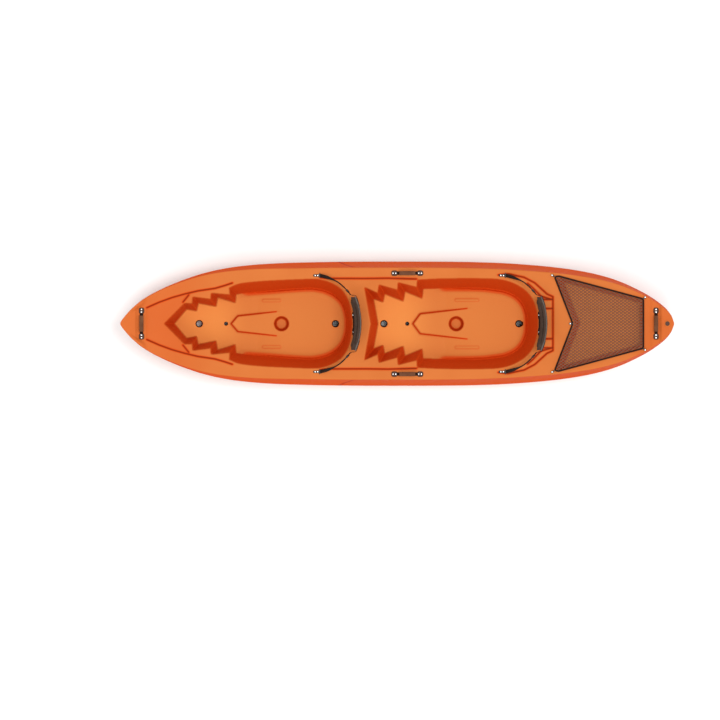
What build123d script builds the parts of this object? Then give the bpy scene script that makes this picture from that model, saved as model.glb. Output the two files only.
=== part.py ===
from build123d import *
import math
import os

os.makedirs("parts", exist_ok=True)

# ---------------------------------------------------------------------------
# Two-seat sit-on-top kayak, millimetres. Origin at the centre of the keel
# plank, +X towards the stern, +Y to starboard, +Z up.
# ---------------------------------------------------------------------------

# Hull
wall = 4.6                 # moulded wall
foot_floor = 108.0         # footwell floor above the keel
seat_floor = 132.0         # seat level above the keel
tank_floor = 205.0         # stern tank well floor
side_margin = 15.0         # the lofted body rises this far over the deck before it is trimmed
keel_trim = 0.8            # and reaches this far under the keel plank before that is trimmed flat

# Sheer line of the deck, X and Z, bow to stern
deck_z = 308.3             # level deck amidships
bow_shelf_z = 381.0        # flat seat of the bow handle
stern_shelf_z = 322.0      # flat seat of the stern handle
drain_deck_z = 334.5       # flat seat of the drain socket
sheer_line = [
    (-1830, 395.0), (-1702, 395.0), (-1684, bow_shelf_z), (-1636, bow_shelf_z), (-1540, 365.1), (-1384, 346.5),
    (-1267, 334.4), (-1150, 325.8), (-955, 315.5), (-683, deck_z), (1000, deck_z), (1640, 316.3),
    (1656, stern_shelf_z), (1702, stern_shelf_z), (1716, drain_deck_z), (1785, drain_deck_z), (1830, 330.0),
]

# Stations of the body: X, half beam, keel Z, chine Z, upper crease Z
stations = [
    (-1796.0, 9.0, 368.0, 375.0, 387.5), (-1782.0, 29.0, 334.0, 343.5, 385.4), (-1760.0, 56.5, 297.5, 319.5, 383.5),
    (-1734.8, 84.5, 261.1, 303.2, 381.8), (-1695.8, 121.5, 206.4, 289.6, 378.0),
    (-1656.9, 152.5, 164.4, 276.5, 370.2), (-1605.0, 185.5, 115.7, 259.0, 361.5), (-1540.1, 219.5, 75.7, 237.0, 351.5),
    (-1462.2, 255.0, 47.4, 211.5, 339.4), (-1371.3, 290.5, 27.4, 181.5, 325.0), (-1267.5, 324.5, 14.4, 149.5, 308.4),
    (-1150.7, 352.5, 6.5, 118.0, 289.2), (-1020.9, 373.2, 3.4, 88.5, 270.5), (-852.1, 388.2, 1.2, 61.5, 254.0),
    (-657.4, 396.5, 0.0, 47.0, 239.5), (-397.8, 401.6, 0.0, 42.6, 223.5), (-138.2, 403.5, 0.0, 41.3, 211.5),
    (147.3, 403.5, 0.0, 42.1, 205.0), (406.9, 401.8, 0.0, 43.7, 202.0), (640.6, 395.5, 0.0, 45.6, 200.8),
    (861.2, 381.9, 0.0, 49.0, 201.8), (1055.9, 362.5, 1.0, 55.6, 204.4), (1211.7, 338.5, 4.2, 63.5, 208.5),
    (1341.5, 308.5, 10.5, 73.0, 214.3), (1445.3, 274.5, 18.5, 84.5, 221.9), (1536.2, 234.0, 29.5, 100.0, 232.5),
    (1614.1, 193.5, 46.7, 121.9, 246.1), (1672.5, 156.4, 74.2, 152.1, 262.0), (1717.9, 122.0, 115.4, 190.7, 278.9),
    (1750.4, 91.8, 167.5, 232.9, 294.1), (1773.1, 61.0, 226.8, 271.5, 307.9), (1789.6, 28.0, 285.2, 304.7, 320.2),
    (1796.0, 9.0, 306.0, 315.0, 324.5),
]
# Gunwale tumblehome, chine position and keel plank, as X and value
tumblehome = [(-1800, 1), (-1540, 4), (-1267, 14), (-1020, 26), (-850, 32), (-657, 38), (-138, 40), (861, 40),
              (1200, 34), (1445, 24), (1614, 16), (1718, 12), (1800, 3)]
chine_share = [(-1800, 0.60), (-1657, 0.56), (-1540, 0.58), (-1371, 0.64), (-1020, 0.74), (-657, 0.79), (0, 0.80),
               (900, 0.80), (1341, 0.78), (1614, 0.72), (1800, 0.65)]
keel_half = [(-1800, 3), (-1773, 9), (-1735, 14), (-1657, 20), (-1540, 32), (-1371, 62), (-1150, 100), (-852, 135),
             (-398, 150), (861, 150), (1341, 108), (1536, 70), (1614, 55), (1718, 30), (1773, 14), (1800, 3)]

# Front well: starboard half of the outline at deck level and at floor level, apex first
front_deck = [(-1513, 0), (-1380, 133), (-1330, 131), (-1329, 174), (-1212, 160), (-1209, 198), (-1087, 189), (-1091, 234)]
front_floor = [(-1447, 0), (-1368, 94), (-1303, 81), (-1292, 133), (-1176, 110), (-1166, 171), (-1051, 133), (-1046, 189)]
front_rim = [(-1021, 261), (-878, 277), (-696, 286), (-545, 291), (-489, 285), (-431, 267), (-369, 229), (-329, 178),
             (-306, 120), (-295, 54), (-291, 0)]
front_floor_rim = [(-982, 198), (-852, 207), (-696, 219), (-573, 225), (-515, 220), (-463, 207), (-411, 181),
                   (-369, 143), (-343, 95), (-330, 40), (-327, 0)]
# Rear well, in the same order
rear_deck = [(-173, 0), (-215, 238), (-129, 200), (-120, 254), (-1, 221), (4, 269), (125, 239), (129, 286)]
rear_floor = [(-123, 0), (-151, 159), (-90, 138), (-79, 191), (41, 143), (53, 207), (164, 161), (171, 225)]
rear_rim = [(277, 293), (472, 295), (608, 293), (676, 287), (731, 273), (785, 249), (839, 211), (881, 157),
            (904, 94), (913, 42), (914, 0)]
rear_floor_rim = [(297, 227), (439, 227), (550, 224), (631, 215), (689, 206), (741, 187), (783, 159), (816, 116),
                  (833, 71), (839, 35), (840, 0)]
# Tank well
tank_deck = [(1151, 0), (1029, 293), (1047, 301), (1592, 152)]
tank_bed = [(1189, 0), (1088, 262), (1098, 266), (1580, 135)]

# Console between the legs: apex, shoulder, end of the edge, as X and half width
front_console = [(-1081, 0), (-1037, 51), (-755, 82)]
rear_console = [(101, 0), (149, 65), (485, 103)]
front_ramp = (-905, -755)   # the footwell floor rises to seat level between these
rear_ramp = (315, 485)

scupper_r = 22.5
small_scupper_r = 12.0
scuppers = [-1287.6, -401.1, -86.3, 791.1]
small_scuppers = [-1113.0, 65.5]
cup_x = [-752.5, 383.6]
cup_top_r, cup_bottom_r, cup_depth = 48.0, 33.0, 58.0

# Drain in the stern deck
drain_x = 1752.9
socket_r, socket_bore_r, socket_flange_r = 15.0, 11.0, 20.0


def at(table, x):
    """Linear value of an (x, value) table."""
    for (x0, v0), (x1, v1) in zip(table, table[1:]):
        if x <= x1:
            return v0 + (v1 - v0) * (x - x0) / (x1 - x0)
    return table[-1][1]


def inset(pts, t):
    """Offset of a closed counter-clockwise polygon, inwards for a positive t."""
    lines = []
    n = len(pts)
    for i in range(n):
        (x0, y0), (x1, y1) = pts[i], pts[(i + 1) % n]
        d = math.hypot(x1 - x0, y1 - y0)
        ux, uy = (x1 - x0) / d, (y1 - y0) / d
        lines.append((x0 - uy * t, y0 + ux * t, ux, uy))
    out = []
    for i in range(n):
        ax, ay, au, av = lines[i - 1]
        bx, by, bu, bv = lines[i]
        cross = au * bv - av * bu
        if abs(cross) < 1e-6:
            out.append((bx, by))
            continue
        s = ((bx - ax) * bv - (by - ay) * bu) / cross
        out.append((ax + au * s, ay + av * s))
    return out


def section(station):
    """Eight corners of one body section, counter-clockwise seen from the stern."""
    x, beam, zk, zc, zu = station
    zt = at(sheer_line, x)
    zk -= keel_trim
    yk, yc = min(at(keel_half, x), beam * 0.45), beam * at(chine_share, x)
    slope = at(tumblehome, x) * min(1, beam / 60) / max(zt - zu, 8)
    top = zt + side_margin
    yt = beam - slope * (top - zu)
    half = [(yk, zk), (yc, zc), (beam, zu), (max(yt, 2.5), top)]
    return half + [(-y, z) for y, z in reversed(half)]


def drawn(deck, floor, rim, floor_rim, low, high, grow):
    """Outlines of a well at its floor and at a level above the deck, grown by a wall if asked."""
    def loop(half, back):
        side = list(half) + list(back)
        return side + [(x, -y) for x, y in reversed(side[1:] if not back else side[1:-1])]

    lower, upper = loop(floor, floor_rim), loop(deck, rim)
    upper = [
        (fx + (dx - fx) * (high - low) / (at(sheer_line, dx) - low), fy + (dy - fy) * (high - low) / (at(sheer_line, dx) - low))
        for (dx, dy), (fx, fy) in zip(upper, lower)
    ]
    # the loops run clockwise seen from above, so a positive offset grows them
    return (inset(lower, grow), inset(upper, grow)) if grow else (lower, upper)


def well_outline(points, corners):
    """One closed outline: straight edges between the corners, then one smooth rim and back."""
    n = len(points)
    first = points[:corners]
    last = points[n - corners + 1:]
    rim = points[corners - 1:n - corners + 2]
    Polyline(*last, *first)
    if len(rim) > 2:
        Spline(*rim)
    else:
        Line(*rim)


# ---------------------------------------------------------------------------
# Wells, as closed solids that the deck is cut with
# ---------------------------------------------------------------------------
def seat_well(deck, floor, rim, floor_rim, ramp, console, cup, grow):
    low, high = foot_floor - grow, 372.0
    lower, upper = drawn(deck, floor, rim, floor_rim, low, high, grow)
    back = max(x for x, _ in upper) + 60
    with BuildPart() as well:
        with BuildSketch(Plane.XY.offset(low)):
            with BuildLine():
                well_outline(lower, len(deck))
            make_face()
        with BuildSketch(Plane.XY.offset(high)):
            with BuildLine():
                well_outline(upper, len(deck))
            make_face()
        loft(ruled=True)
        # the floor rises to seat level behind the footwell
        with BuildSketch(Plane.XZ):
            with BuildLine():
                Polyline((ramp[0], low), (ramp[1], seat_floor - grow), (back, seat_floor - grow),
                         (back, low - 30), (ramp[0], low - 30), close=True)
            make_face()
        extrude(amount=420, both=True, mode=Mode.SUBTRACT)
        # console at seat level between the legs
        with BuildSketch(Plane.XY.offset(low - 30)):
            with BuildLine():
                a, b, c = console
                g = grow
                Polyline((a[0] + g * 1.4, 0), (b[0] + g, b[1] - g), (c[0], c[1] - g), (c[0], -c[1] + g),
                         (b[0] + g, -b[1] + g), close=True)
            make_face()
        extrude(amount=seat_floor - low + 30 - grow, mode=Mode.SUBTRACT)
        # cup holder
        with BuildSketch(Plane.XY.offset(seat_floor - cup_depth - grow)):
            with Locations((cup, 0)):
                Circle(cup_bottom_r + grow)
        with BuildSketch(Plane.XY.offset(seat_floor + 2)):
            with Locations((cup, 0)):
                Circle(cup_top_r + 0.5 + grow)
        loft()
    return well.part


def tank_well(grow):
    low, high = tank_floor - grow, 345.0
    lower, upper = drawn(tank_deck, tank_bed, [], [], low, high, grow)
    with BuildPart() as well:
        for level, loop in ((low, lower), (high, upper)):
            with BuildSketch(Plane.XY.offset(level)):
                with BuildLine():
                    Polyline(*loop, close=True)
                make_face()
        loft(ruled=True)
    return well.part


def scupper_bores(grow):
    with BuildPart() as bores:
        with BuildSketch(Plane.XY.offset(-40)):
            with Locations(*[(x, 0) for x in scuppers]):
                Circle(scupper_r + grow)
            with Locations(*[(x, 0) for x in small_scuppers]):
                Circle(small_scupper_r + grow)
        extrude(amount=seat_floor + 60)
    return bores.part


def body(sections, lid):
    """The body lofted through its sections and trimmed along the sheer line, lowered by lid."""
    with BuildPart() as shell:
        for x, pts in sections:
            with BuildSketch(Plane.YZ.offset(x)):
                with BuildLine():
                    Polyline(*pts, close=True)
                make_face()
        loft()
        with BuildSketch(Plane.XZ):
            with BuildLine():
                Polyline(*[(x, z - lid) for x, z in sheer_line], (1830, 600), (-1830, 600), close=True)
            make_face()
        extrude(amount=600, both=True, mode=Mode.SUBTRACT)
        with BuildSketch(Plane.XY.offset(lid)):
            Rectangle(3700, 900)
        extrude(amount=-30, mode=Mode.SUBTRACT)
    return shell.part


front_args = (front_deck, front_floor, front_rim, front_floor_rim, front_ramp, front_console, cup_x[0])
rear_args = (rear_deck, rear_floor, rear_rim, rear_floor_rim, rear_ramp, rear_console, cup_x[1])

outer = body([(s[0], section(s)) for s in stations], 0)
inner = body([(s[0], inset(section(s), wall)) for s in stations[2:-2]], wall)

# The sealed hollow between the deck and the bottom
with BuildPart() as cavity:
    add(inner)
    for piece in (seat_well(*front_args, wall), seat_well(*rear_args, wall), tank_well(wall), scupper_bores(wall - 0.5)):
        add(piece, mode=Mode.SUBTRACT)

with BuildPart() as hull:
    add(outer)
    for piece in (seat_well(*front_args, 0), seat_well(*rear_args, 0), tank_well(0), scupper_bores(0)):
        add(piece, mode=Mode.SUBTRACT)
    add(cavity.part, mode=Mode.SUBTRACT)
    # hole for the drain socket
    with BuildSketch(Plane.XY.offset(drain_deck_z + 5)):
        with Locations((drain_x, 0)):
            Circle(socket_r + 0.1)
    extrude(amount=-32, mode=Mode.SUBTRACT)
hull.part.label = "hull"
export_step(hull.part, "parts/hull.step")
pieces = [hull.part]


def keep(part, name):
    part.label = name
    export_step(part, f"parts/{name}.step")
    pieces.append(part)


# ---------------------------------------------------------------------------
# Foam pillars between the deck and the bottom, inside the sealed hull
# ---------------------------------------------------------------------------
foam_blocks = {
    "foam_block_bow": (-1630, -1535, 48, 232, 352),
    "foam_block_middle": (-268, -234, 120, wall + 0.4, deck_z - wall - 0.4),
    "foam_block_stern": (928, 1006, 110, wall + 0.9, deck_z - wall - 0.6),
}
for name, (x0, x1, half, z0, z1) in foam_blocks.items():
    with BuildPart() as foam:
        with BuildSketch(Plane.XY.offset(z0)):
            with Locations(((x0 + x1) / 2, 0)):
                RectangleRounded(x1 - x0, 2 * half, 10)
        extrude(amount=z1 - z0)
    keep(foam.part, name)

# ---------------------------------------------------------------------------
# Carry handles: arched strap, rubber grip, two end caps, four screws each
# ---------------------------------------------------------------------------
strap_t, strap_w = 3.0, 22.0
grip_l, grip_w, grip_t = 104.0, 28.0, 12.0
cap_in, cap_out, cap_w, cap_h = 66.5, 101.0, 30.0, 8.0
cap_screw_u = (74.5, 92.0)
screw_head_r, screw_head_h, screw_r = 5.0, 2.4, 2.1
side_handle_y = 327.5

handles = {
    "bow_handle": (Plane(origin=(-1658.8, 0, bow_shelf_z), x_dir=(0, 1, 0), z_dir=(0, 0, 1)), 35.5),
    "stern_handle": (Plane(origin=(1679.0, 0, stern_shelf_z), x_dir=(0, 1, 0), z_dir=(0, 0, 1)), 33.0),
    "starboard_handle": (Plane(origin=(64.9, side_handle_y, deck_z), x_dir=(1, 0, 0), z_dir=(0, 0, 1)), 40.0),
    "port_handle": (Plane(origin=(64.9, -side_handle_y, deck_z), x_dir=(1, 0, 0), z_dir=(0, 0, 1)), 40.0),
}


def upright(base):
    """Plane through the same origin, with local x along the fitting and local y up."""
    return Plane(origin=base.origin, x_dir=base.x_dir, z_dir=-base.y_dir)


for name, (base, high) in handles.items():
    bar = high - grip_t / 2 - strap_t / 2
    with BuildPart() as strap:
        with BuildSketch(upright(base)):
            with BuildLine():
                Polyline((-100, 0), (-63, 0), (-53, bar), (53, bar), (63, 0), (100, 0), (100, strap_t), (65, strap_t),
                         (55, bar + strap_t), (-55, bar + strap_t), (-65, strap_t), (-100, strap_t), close=True)
            make_face()
        extrude(amount=strap_w / 2, both=True)
        with BuildSketch(base):
            with Locations(*[(s * u, 0) for u in cap_screw_u for s in (-1, 1)]):
                Circle(screw_r + 0.4)
        extrude(amount=strap_t + 1, mode=Mode.SUBTRACT)
    keep(strap.part, f"{name}_strap")

    with BuildPart() as grip:
        with BuildSketch(base.offset(high - grip_t)):
            RectangleRounded(grip_l, grip_w, 8)
        extrude(amount=grip_t)
        fillet(grip.faces().sort_by(Axis.Z)[-1].edges(), 3.5)
        fillet(grip.faces().sort_by(Axis.Z)[0].edges(), 3.5)
        with BuildSketch(upright(base)):
            with Locations((0, bar + strap_t / 2)):
                Rectangle(grip_l + 4, strap_t + 0.4)
        extrude(amount=strap_w / 2 + 0.3, both=True, mode=Mode.SUBTRACT)
    keep(grip.part, f"{name}_grip")

    for side, sign in (("a", -1), ("b", 1)):
        with BuildPart() as cap:
            with BuildSketch(base):
                with Locations((sign * (cap_in + cap_out) / 2, 0)):
                    RectangleRounded(cap_out - cap_in, cap_w, 10)
            extrude(amount=cap_h)
            fillet(cap.faces().sort_by(Axis.Z)[-1].edges(), 2.5)
            with BuildSketch(base):
                with Locations((sign * (cap_in - 5 + 100.4) / 2, 0)):
                    Rectangle(100.4 - cap_in + 5, strap_w + 0.6)
            extrude(amount=strap_t + 0.2, mode=Mode.SUBTRACT)
            with BuildSketch(base):
                with Locations(*[(sign * u, 0) for u in cap_screw_u]):
                    Circle(screw_r + 0.3)
            extrude(amount=cap_h + 1, mode=Mode.SUBTRACT)
        keep(cap.part, f"{name}_cap_{side}")


def screws(places, head_z, depth, head_r=screw_head_r, socket=1.6):
    """Pan-head screws as separate solids: (plane, x, y) each, head seated head_z above its plane."""
    with BuildPart() as group:
        for base, x, y in places:
            with BuildSketch(base.offset(head_z)):
                with Locations((x, y)):
                    Circle(head_r)
            extrude(amount=screw_head_h, taper=24)
            with BuildSketch(base.offset(head_z)):
                with Locations((x, y)):
                    Circle(screw_r)
            extrude(amount=-depth)
            with BuildSketch(base.offset(head_z + screw_head_h)):
                with Locations((x, y)):
                    RegularPolygon(socket, 6)
            extrude(amount=-1.4, mode=Mode.SUBTRACT)
    return group.part


keep(screws([(base, s * u, 0) for base, _ in handles.values() for u in cap_screw_u for s in (-1, 1)], cap_h, 20),
     "handle_screws")

# ---------------------------------------------------------------------------
# Seat backs: padded face, stiff panel, top roll, hinge strip, side straps
# ---------------------------------------------------------------------------
back_r = 460.0             # plan radius of the rear face
pad_t, panel_t = 33.0, 9.0
back_foot, back_top, back_half = 317.0, 461.0, 174.0
lip_r, lip_z = 7.5, 469.5
seat_pitch = 1205.0        # rear seat back behind the front one
front_back_x = -233.0      # rear face of the front seat back on the centre line
hinge_screw = (-287.5, 55.0)
hinge_t = 2.0
eye_x, eye_y = -524.0, 312.5
eye_screw_u = 8.75
seats = {"front": 0.0, "rear": seat_pitch}

back_outline = [(-60, back_foot), (-112, 336), (-150, 366), (-back_half, 398), (-172, 430), (-150, 452), (-108, back_top),
                (108, back_top), (150, 452), (172, 430), (back_half, 398), (150, 366), (112, 336), (60, back_foot)]


def curved_plate(centre_x, r_in, r_out):
    """Upright plate curved about a vertical axis and cut to the outline of the seat back."""
    with BuildPart() as plate:
        with BuildSketch(Plane.XY.offset(300)):
            with Locations((centre_x, 0)):
                Circle(r_out)
                Circle(r_in, mode=Mode.SUBTRACT)
        extrude(amount=190)
        with BuildSketch(Plane.YZ.offset(centre_x + r_in * 0.6)):
            with BuildLine():
                Polyline(*back_outline, close=True)
            make_face()
            fillet(vertices(), 9)
        extrude(amount=r_out, mode=Mode.INTERSECT)
    return plate.part


eye_planes = []
hinge_places = []
for seat, shift in seats.items():
    centre_x = front_back_x + shift - back_r
    keep(curved_plate(centre_x, back_r - panel_t - pad_t, back_r - panel_t - 0.3), f"{seat}_back_pad")
    keep(curved_plate(centre_x, back_r - panel_t, back_r), f"{seat}_back_panel")

    # roll along the top edge, following the curve of the back
    mid_r = back_r - 16
    ang = math.radians(17)
    with BuildPart() as lip:
        with BuildLine():
            arc = ThreePointArc(
                (centre_x + mid_r * math.cos(ang), -mid_r * math.sin(ang), lip_z), (centre_x + mid_r, 0, lip_z),
                (centre_x + mid_r * math.cos(ang), mid_r * math.sin(ang), lip_z))
        with BuildSketch(Plane(origin=arc @ 0, z_dir=arc % 0)):
            Circle(lip_r)
        sweep()
    keep(lip.part, f"{seat}_back_lip")

    # webbing strip that hinges the back to the deck
    with BuildPart() as hinge:
        with BuildSketch(Plane.XY.offset(deck_z)):
            with Locations((shift + hinge_screw[0] + 14, 0)):
                RectangleRounded(40 - 2 * 5.5, 2 * 78, 5)
            with Locations(*[(shift + hinge_screw[0], s * hinge_screw[1]) for s in (-1, 1)]):
                Circle(screw_r + 0.3, mode=Mode.SUBTRACT)
        extrude(amount=hinge_t)
    keep(hinge.part, f"{seat}_back_hinge")
    hinge_places += [(Plane.XY.offset(deck_z), shift + hinge_screw[0], s * hinge_screw[1]) for s in (-1, 1)]

    for side, sign in (("port", -1), ("starboard", 1)):
        base = Plane(origin=(eye_x + shift, sign * eye_y, deck_z), x_dir=(1, 0, 0), z_dir=(0, 0, 1))
        eye_planes.append(base)
        # deck eye: plate with a raised loop for the webbing
        with BuildPart() as eye:
            with BuildSketch(base):
                RectangleRounded(44, 15, 7)
            extrude(amount=3)
            with BuildSketch(base):
                with Locations((20.5, 0)):
                    RectangleRounded(6, 32, 2.5)
            extrude(amount=11)
            with BuildSketch(upright(base)):
                with Locations((20.5, 5.5)):
                    Rectangle(10, 4.4)
            extrude(amount=12.5, both=True, mode=Mode.SUBTRACT)
            with BuildSketch(base):
                with Locations((-eye_screw_u, 0), (eye_screw_u - 1, 0)):
                    Circle(screw_r + 0.3)
            extrude(amount=4, mode=Mode.SUBTRACT)
        keep(eye.part, f"{seat}_strap_eye_{side}")

        # side strap on edge, from the eye to the wing of the back
        with BuildLine() as run:
            ThreePointArc((-496 + shift, sign * 309, 321.5), (-392 + shift, sign * 272, 365), (-303.5 + shift, sign * 184.5, 407))
        path = run.line
        edge_up = (path % 0).cross(path % 1).normalized()
        edge_up = edge_up if edge_up.Z > 0 else -edge_up
        with BuildPart() as strap:
            with BuildSketch(Plane(origin=path @ 0, z_dir=path % 0, x_dir=edge_up)):
                Rectangle(20, 2.4)
            sweep(path=path)
        keep(strap.part, f"{seat}_strap_{side}")

        # ladder-lock adjuster round the strap near the back
        spot = 0.86
        with BuildPart() as buckle:
            frame = Plane(origin=path @ spot, z_dir=path % spot, x_dir=edge_up)
            with BuildSketch(frame):
                RectangleRounded(29, 9, 2.5)
                Rectangle(21.4, 4.6, mode=Mode.SUBTRACT)
            extrude(amount=11, both=True)
        keep(buckle.part, f"{seat}_buckle_{side}")

keep(screws([(b, u, 0) for b in eye_planes for u in (-eye_screw_u, eye_screw_u - 1)], 3, 14), "strap_eye_screws")
keep(screws(hinge_places, hinge_t, 13, head_r=4.2, socket=1.5), "back_hinge_screws")

# ---------------------------------------------------------------------------
# Tank well cover: mesh, elastic border, five hooks
# ---------------------------------------------------------------------------
slope = (316.3 - deck_z) / 640
tank_plane = Plane(origin=(1000, 0, deck_z), x_dir=(1, 0, slope), z_dir=(-slope, 0, 1))
border = [(22, 303), (46, 309), (597, 160), (597, -160), (46, -309), (22, -303), (139, 0)]
cord_r = 4.0
hooks_at = [(5, 314, -30), (608.5, 171, -138), (608.5, -171, 138), (5, -314, 30), (123, 0, 0)]

with BuildPart() as net:
    with BuildSketch(tank_plane.offset(3.0)):
        with BuildLine():
            Polyline(*inset(border, -(cord_r + 0.6)), close=True)
        make_face()
    extrude(amount=1.6)
keep(net.part, "tank_net")

with BuildPart() as cord:
    with BuildSketch(tank_plane.offset(0.3)):
        with BuildLine():
            Polyline(*inset(border, cord_r), close=True)
        make_face()
        fillet(vertices(), 7)
        with BuildLine(mode=Mode.PRIVATE) as hole:
            Polyline(*inset(border, -cord_r), close=True)
        with BuildSketch(tank_plane.offset(0.3), mode=Mode.PRIVATE) as inner_face:
            add(hole.line)
            make_face()
    extrude(amount=2 * cord_r)
    with BuildSketch(tank_plane.offset(0.3)):
        with BuildLine():
            Polyline(*inset(border, -cord_r), close=True)
        make_face()
    extrude(amount=2 * cord_r, mode=Mode.SUBTRACT)
keep(cord.part, "tank_net_cord")

hook_h = 12.5
with BuildPart() as hooks:
    for x, y, turn in hooks_at:
        spot = tank_plane * Location((x, y, 0), turn)
        with BuildSketch(Plane(spot)):
            Circle(7)
            Circle(screw_r + 0.3, mode=Mode.SUBTRACT)
        extrude(amount=hook_h)
        with BuildSketch(Plane(spot).offset(9.2)):
            with Locations((11, 0)):
                Rectangle(12, 9)
        extrude(amount=hook_h - 9.2)
keep(hooks.part, "tank_net_hooks")
keep(screws([(tank_plane, x, y) for x, y, _ in hooks_at], hook_h, 24, head_r=5.2), "tank_net_hook_screws")

# ---------------------------------------------------------------------------
# Drain: threaded insert, sealing ring, plug
# ---------------------------------------------------------------------------
drain = Plane(origin=(drain_x, 0, drain_deck_z), x_dir=(1, 0, 0), z_dir=(0, 0, 1))
with BuildPart() as socket:
    with BuildSketch(drain):
        Circle(socket_flange_r)
    extrude(amount=2.5)
    with BuildSketch(drain):
        Circle(socket_r)
    extrude(amount=-22)
    with BuildSketch(drain.offset(5)):
        Circle(socket_bore_r)
    extrude(amount=-40, mode=Mode.SUBTRACT)
keep(socket.part, "drain_socket")

with BuildPart() as gasket:
    with BuildSketch(drain.offset(2.6)):
        Circle(14)
        Circle(10.9, mode=Mode.SUBTRACT)
    extrude(amount=1.5)
keep(gasket.part, "drain_gasket")

with BuildPart() as plug:
    with BuildSketch(drain.offset(4.2)):
        Circle(14.2)
    extrude(amount=4)
    chamfer(plug.faces().sort_by(Axis.Z)[-1].edges(), 0.8)
    with BuildSketch(drain.offset(8.0)):
        SlotOverall(22, 5.5)
    extrude(amount=4.4)
    with BuildSketch(drain.offset(4.3)):
        Circle(10.6)
    extrude(amount=-20)
keep(plug.part, "drain_plug")

for piece in pieces:
    print(piece.label, len(piece.solids()), round(piece.volume), piece.is_valid)
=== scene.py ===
import math
import random

import bmesh
import bpy
import numpy as np
from mathutils import Matrix, Vector


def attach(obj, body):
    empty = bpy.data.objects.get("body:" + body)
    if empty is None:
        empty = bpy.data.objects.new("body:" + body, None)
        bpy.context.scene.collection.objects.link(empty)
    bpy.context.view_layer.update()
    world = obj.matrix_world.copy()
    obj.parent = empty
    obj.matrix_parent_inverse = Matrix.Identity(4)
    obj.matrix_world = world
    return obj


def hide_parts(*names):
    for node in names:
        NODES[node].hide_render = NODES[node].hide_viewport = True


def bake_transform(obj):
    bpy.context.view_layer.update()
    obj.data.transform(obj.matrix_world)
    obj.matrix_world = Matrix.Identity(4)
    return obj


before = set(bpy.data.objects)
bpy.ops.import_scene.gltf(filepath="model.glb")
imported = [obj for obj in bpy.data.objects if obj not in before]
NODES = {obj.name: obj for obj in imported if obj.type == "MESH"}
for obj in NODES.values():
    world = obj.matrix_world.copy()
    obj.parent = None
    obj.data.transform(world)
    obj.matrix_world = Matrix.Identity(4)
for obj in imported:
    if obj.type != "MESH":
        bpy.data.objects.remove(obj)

random.seed(7)
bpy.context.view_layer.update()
PITCH = 1.205              # rear seat back behind the front one, metres

# ---------------------------------------------------------------------------
# Camera, floor and lights
# ---------------------------------------------------------------------------
scene = bpy.context.scene
cam_data = bpy.data.cameras.new("camera")
cam_data.lens = 700.0
cam_data.sensor_width = 36.0
cam_data.clip_start = 1.0
cam_data.clip_end = 600.0
camera = bpy.data.objects.new("camera", cam_data)
scene.collection.objects.link(camera)
FRAME_WIDTH = 4.673
camera.location = (-0.242, -0.236, 0.30 + FRAME_WIDTH * cam_data.lens / cam_data.sensor_width)
camera.rotation_euler = (0.0, 0.0, 0.0)
scene.camera = camera

scene.view_settings.view_transform = "Standard"
scene.view_settings.look = "None"

world = bpy.data.worlds.new("studio")
scene.world = world
world.use_nodes = True
world.node_tree.nodes["Background"].inputs["Color"].default_value = (0.97, 0.985, 1.0, 1.0)
world.node_tree.nodes["Background"].inputs["Strength"].default_value = 0.82


def sun(name, towards, strength, angle, colour=(1.0, 0.985, 0.96)):
    data = bpy.data.lights.new(name, "SUN")
    data.energy = strength
    data.angle = math.radians(angle)
    data.color = colour
    ob = bpy.data.objects.new(name, data)
    scene.collection.objects.link(ob)
    ob.rotation_euler = Vector(towards).to_track_quat("-Z", "Y").to_euler()
    return ob


sun("key", (0.12, 0.42, -1.0), 1.0, 42)
sun("top", (-0.30, -0.05, -1.0), 1.30, 22, (1.0, 1.0, 1.0))


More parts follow.
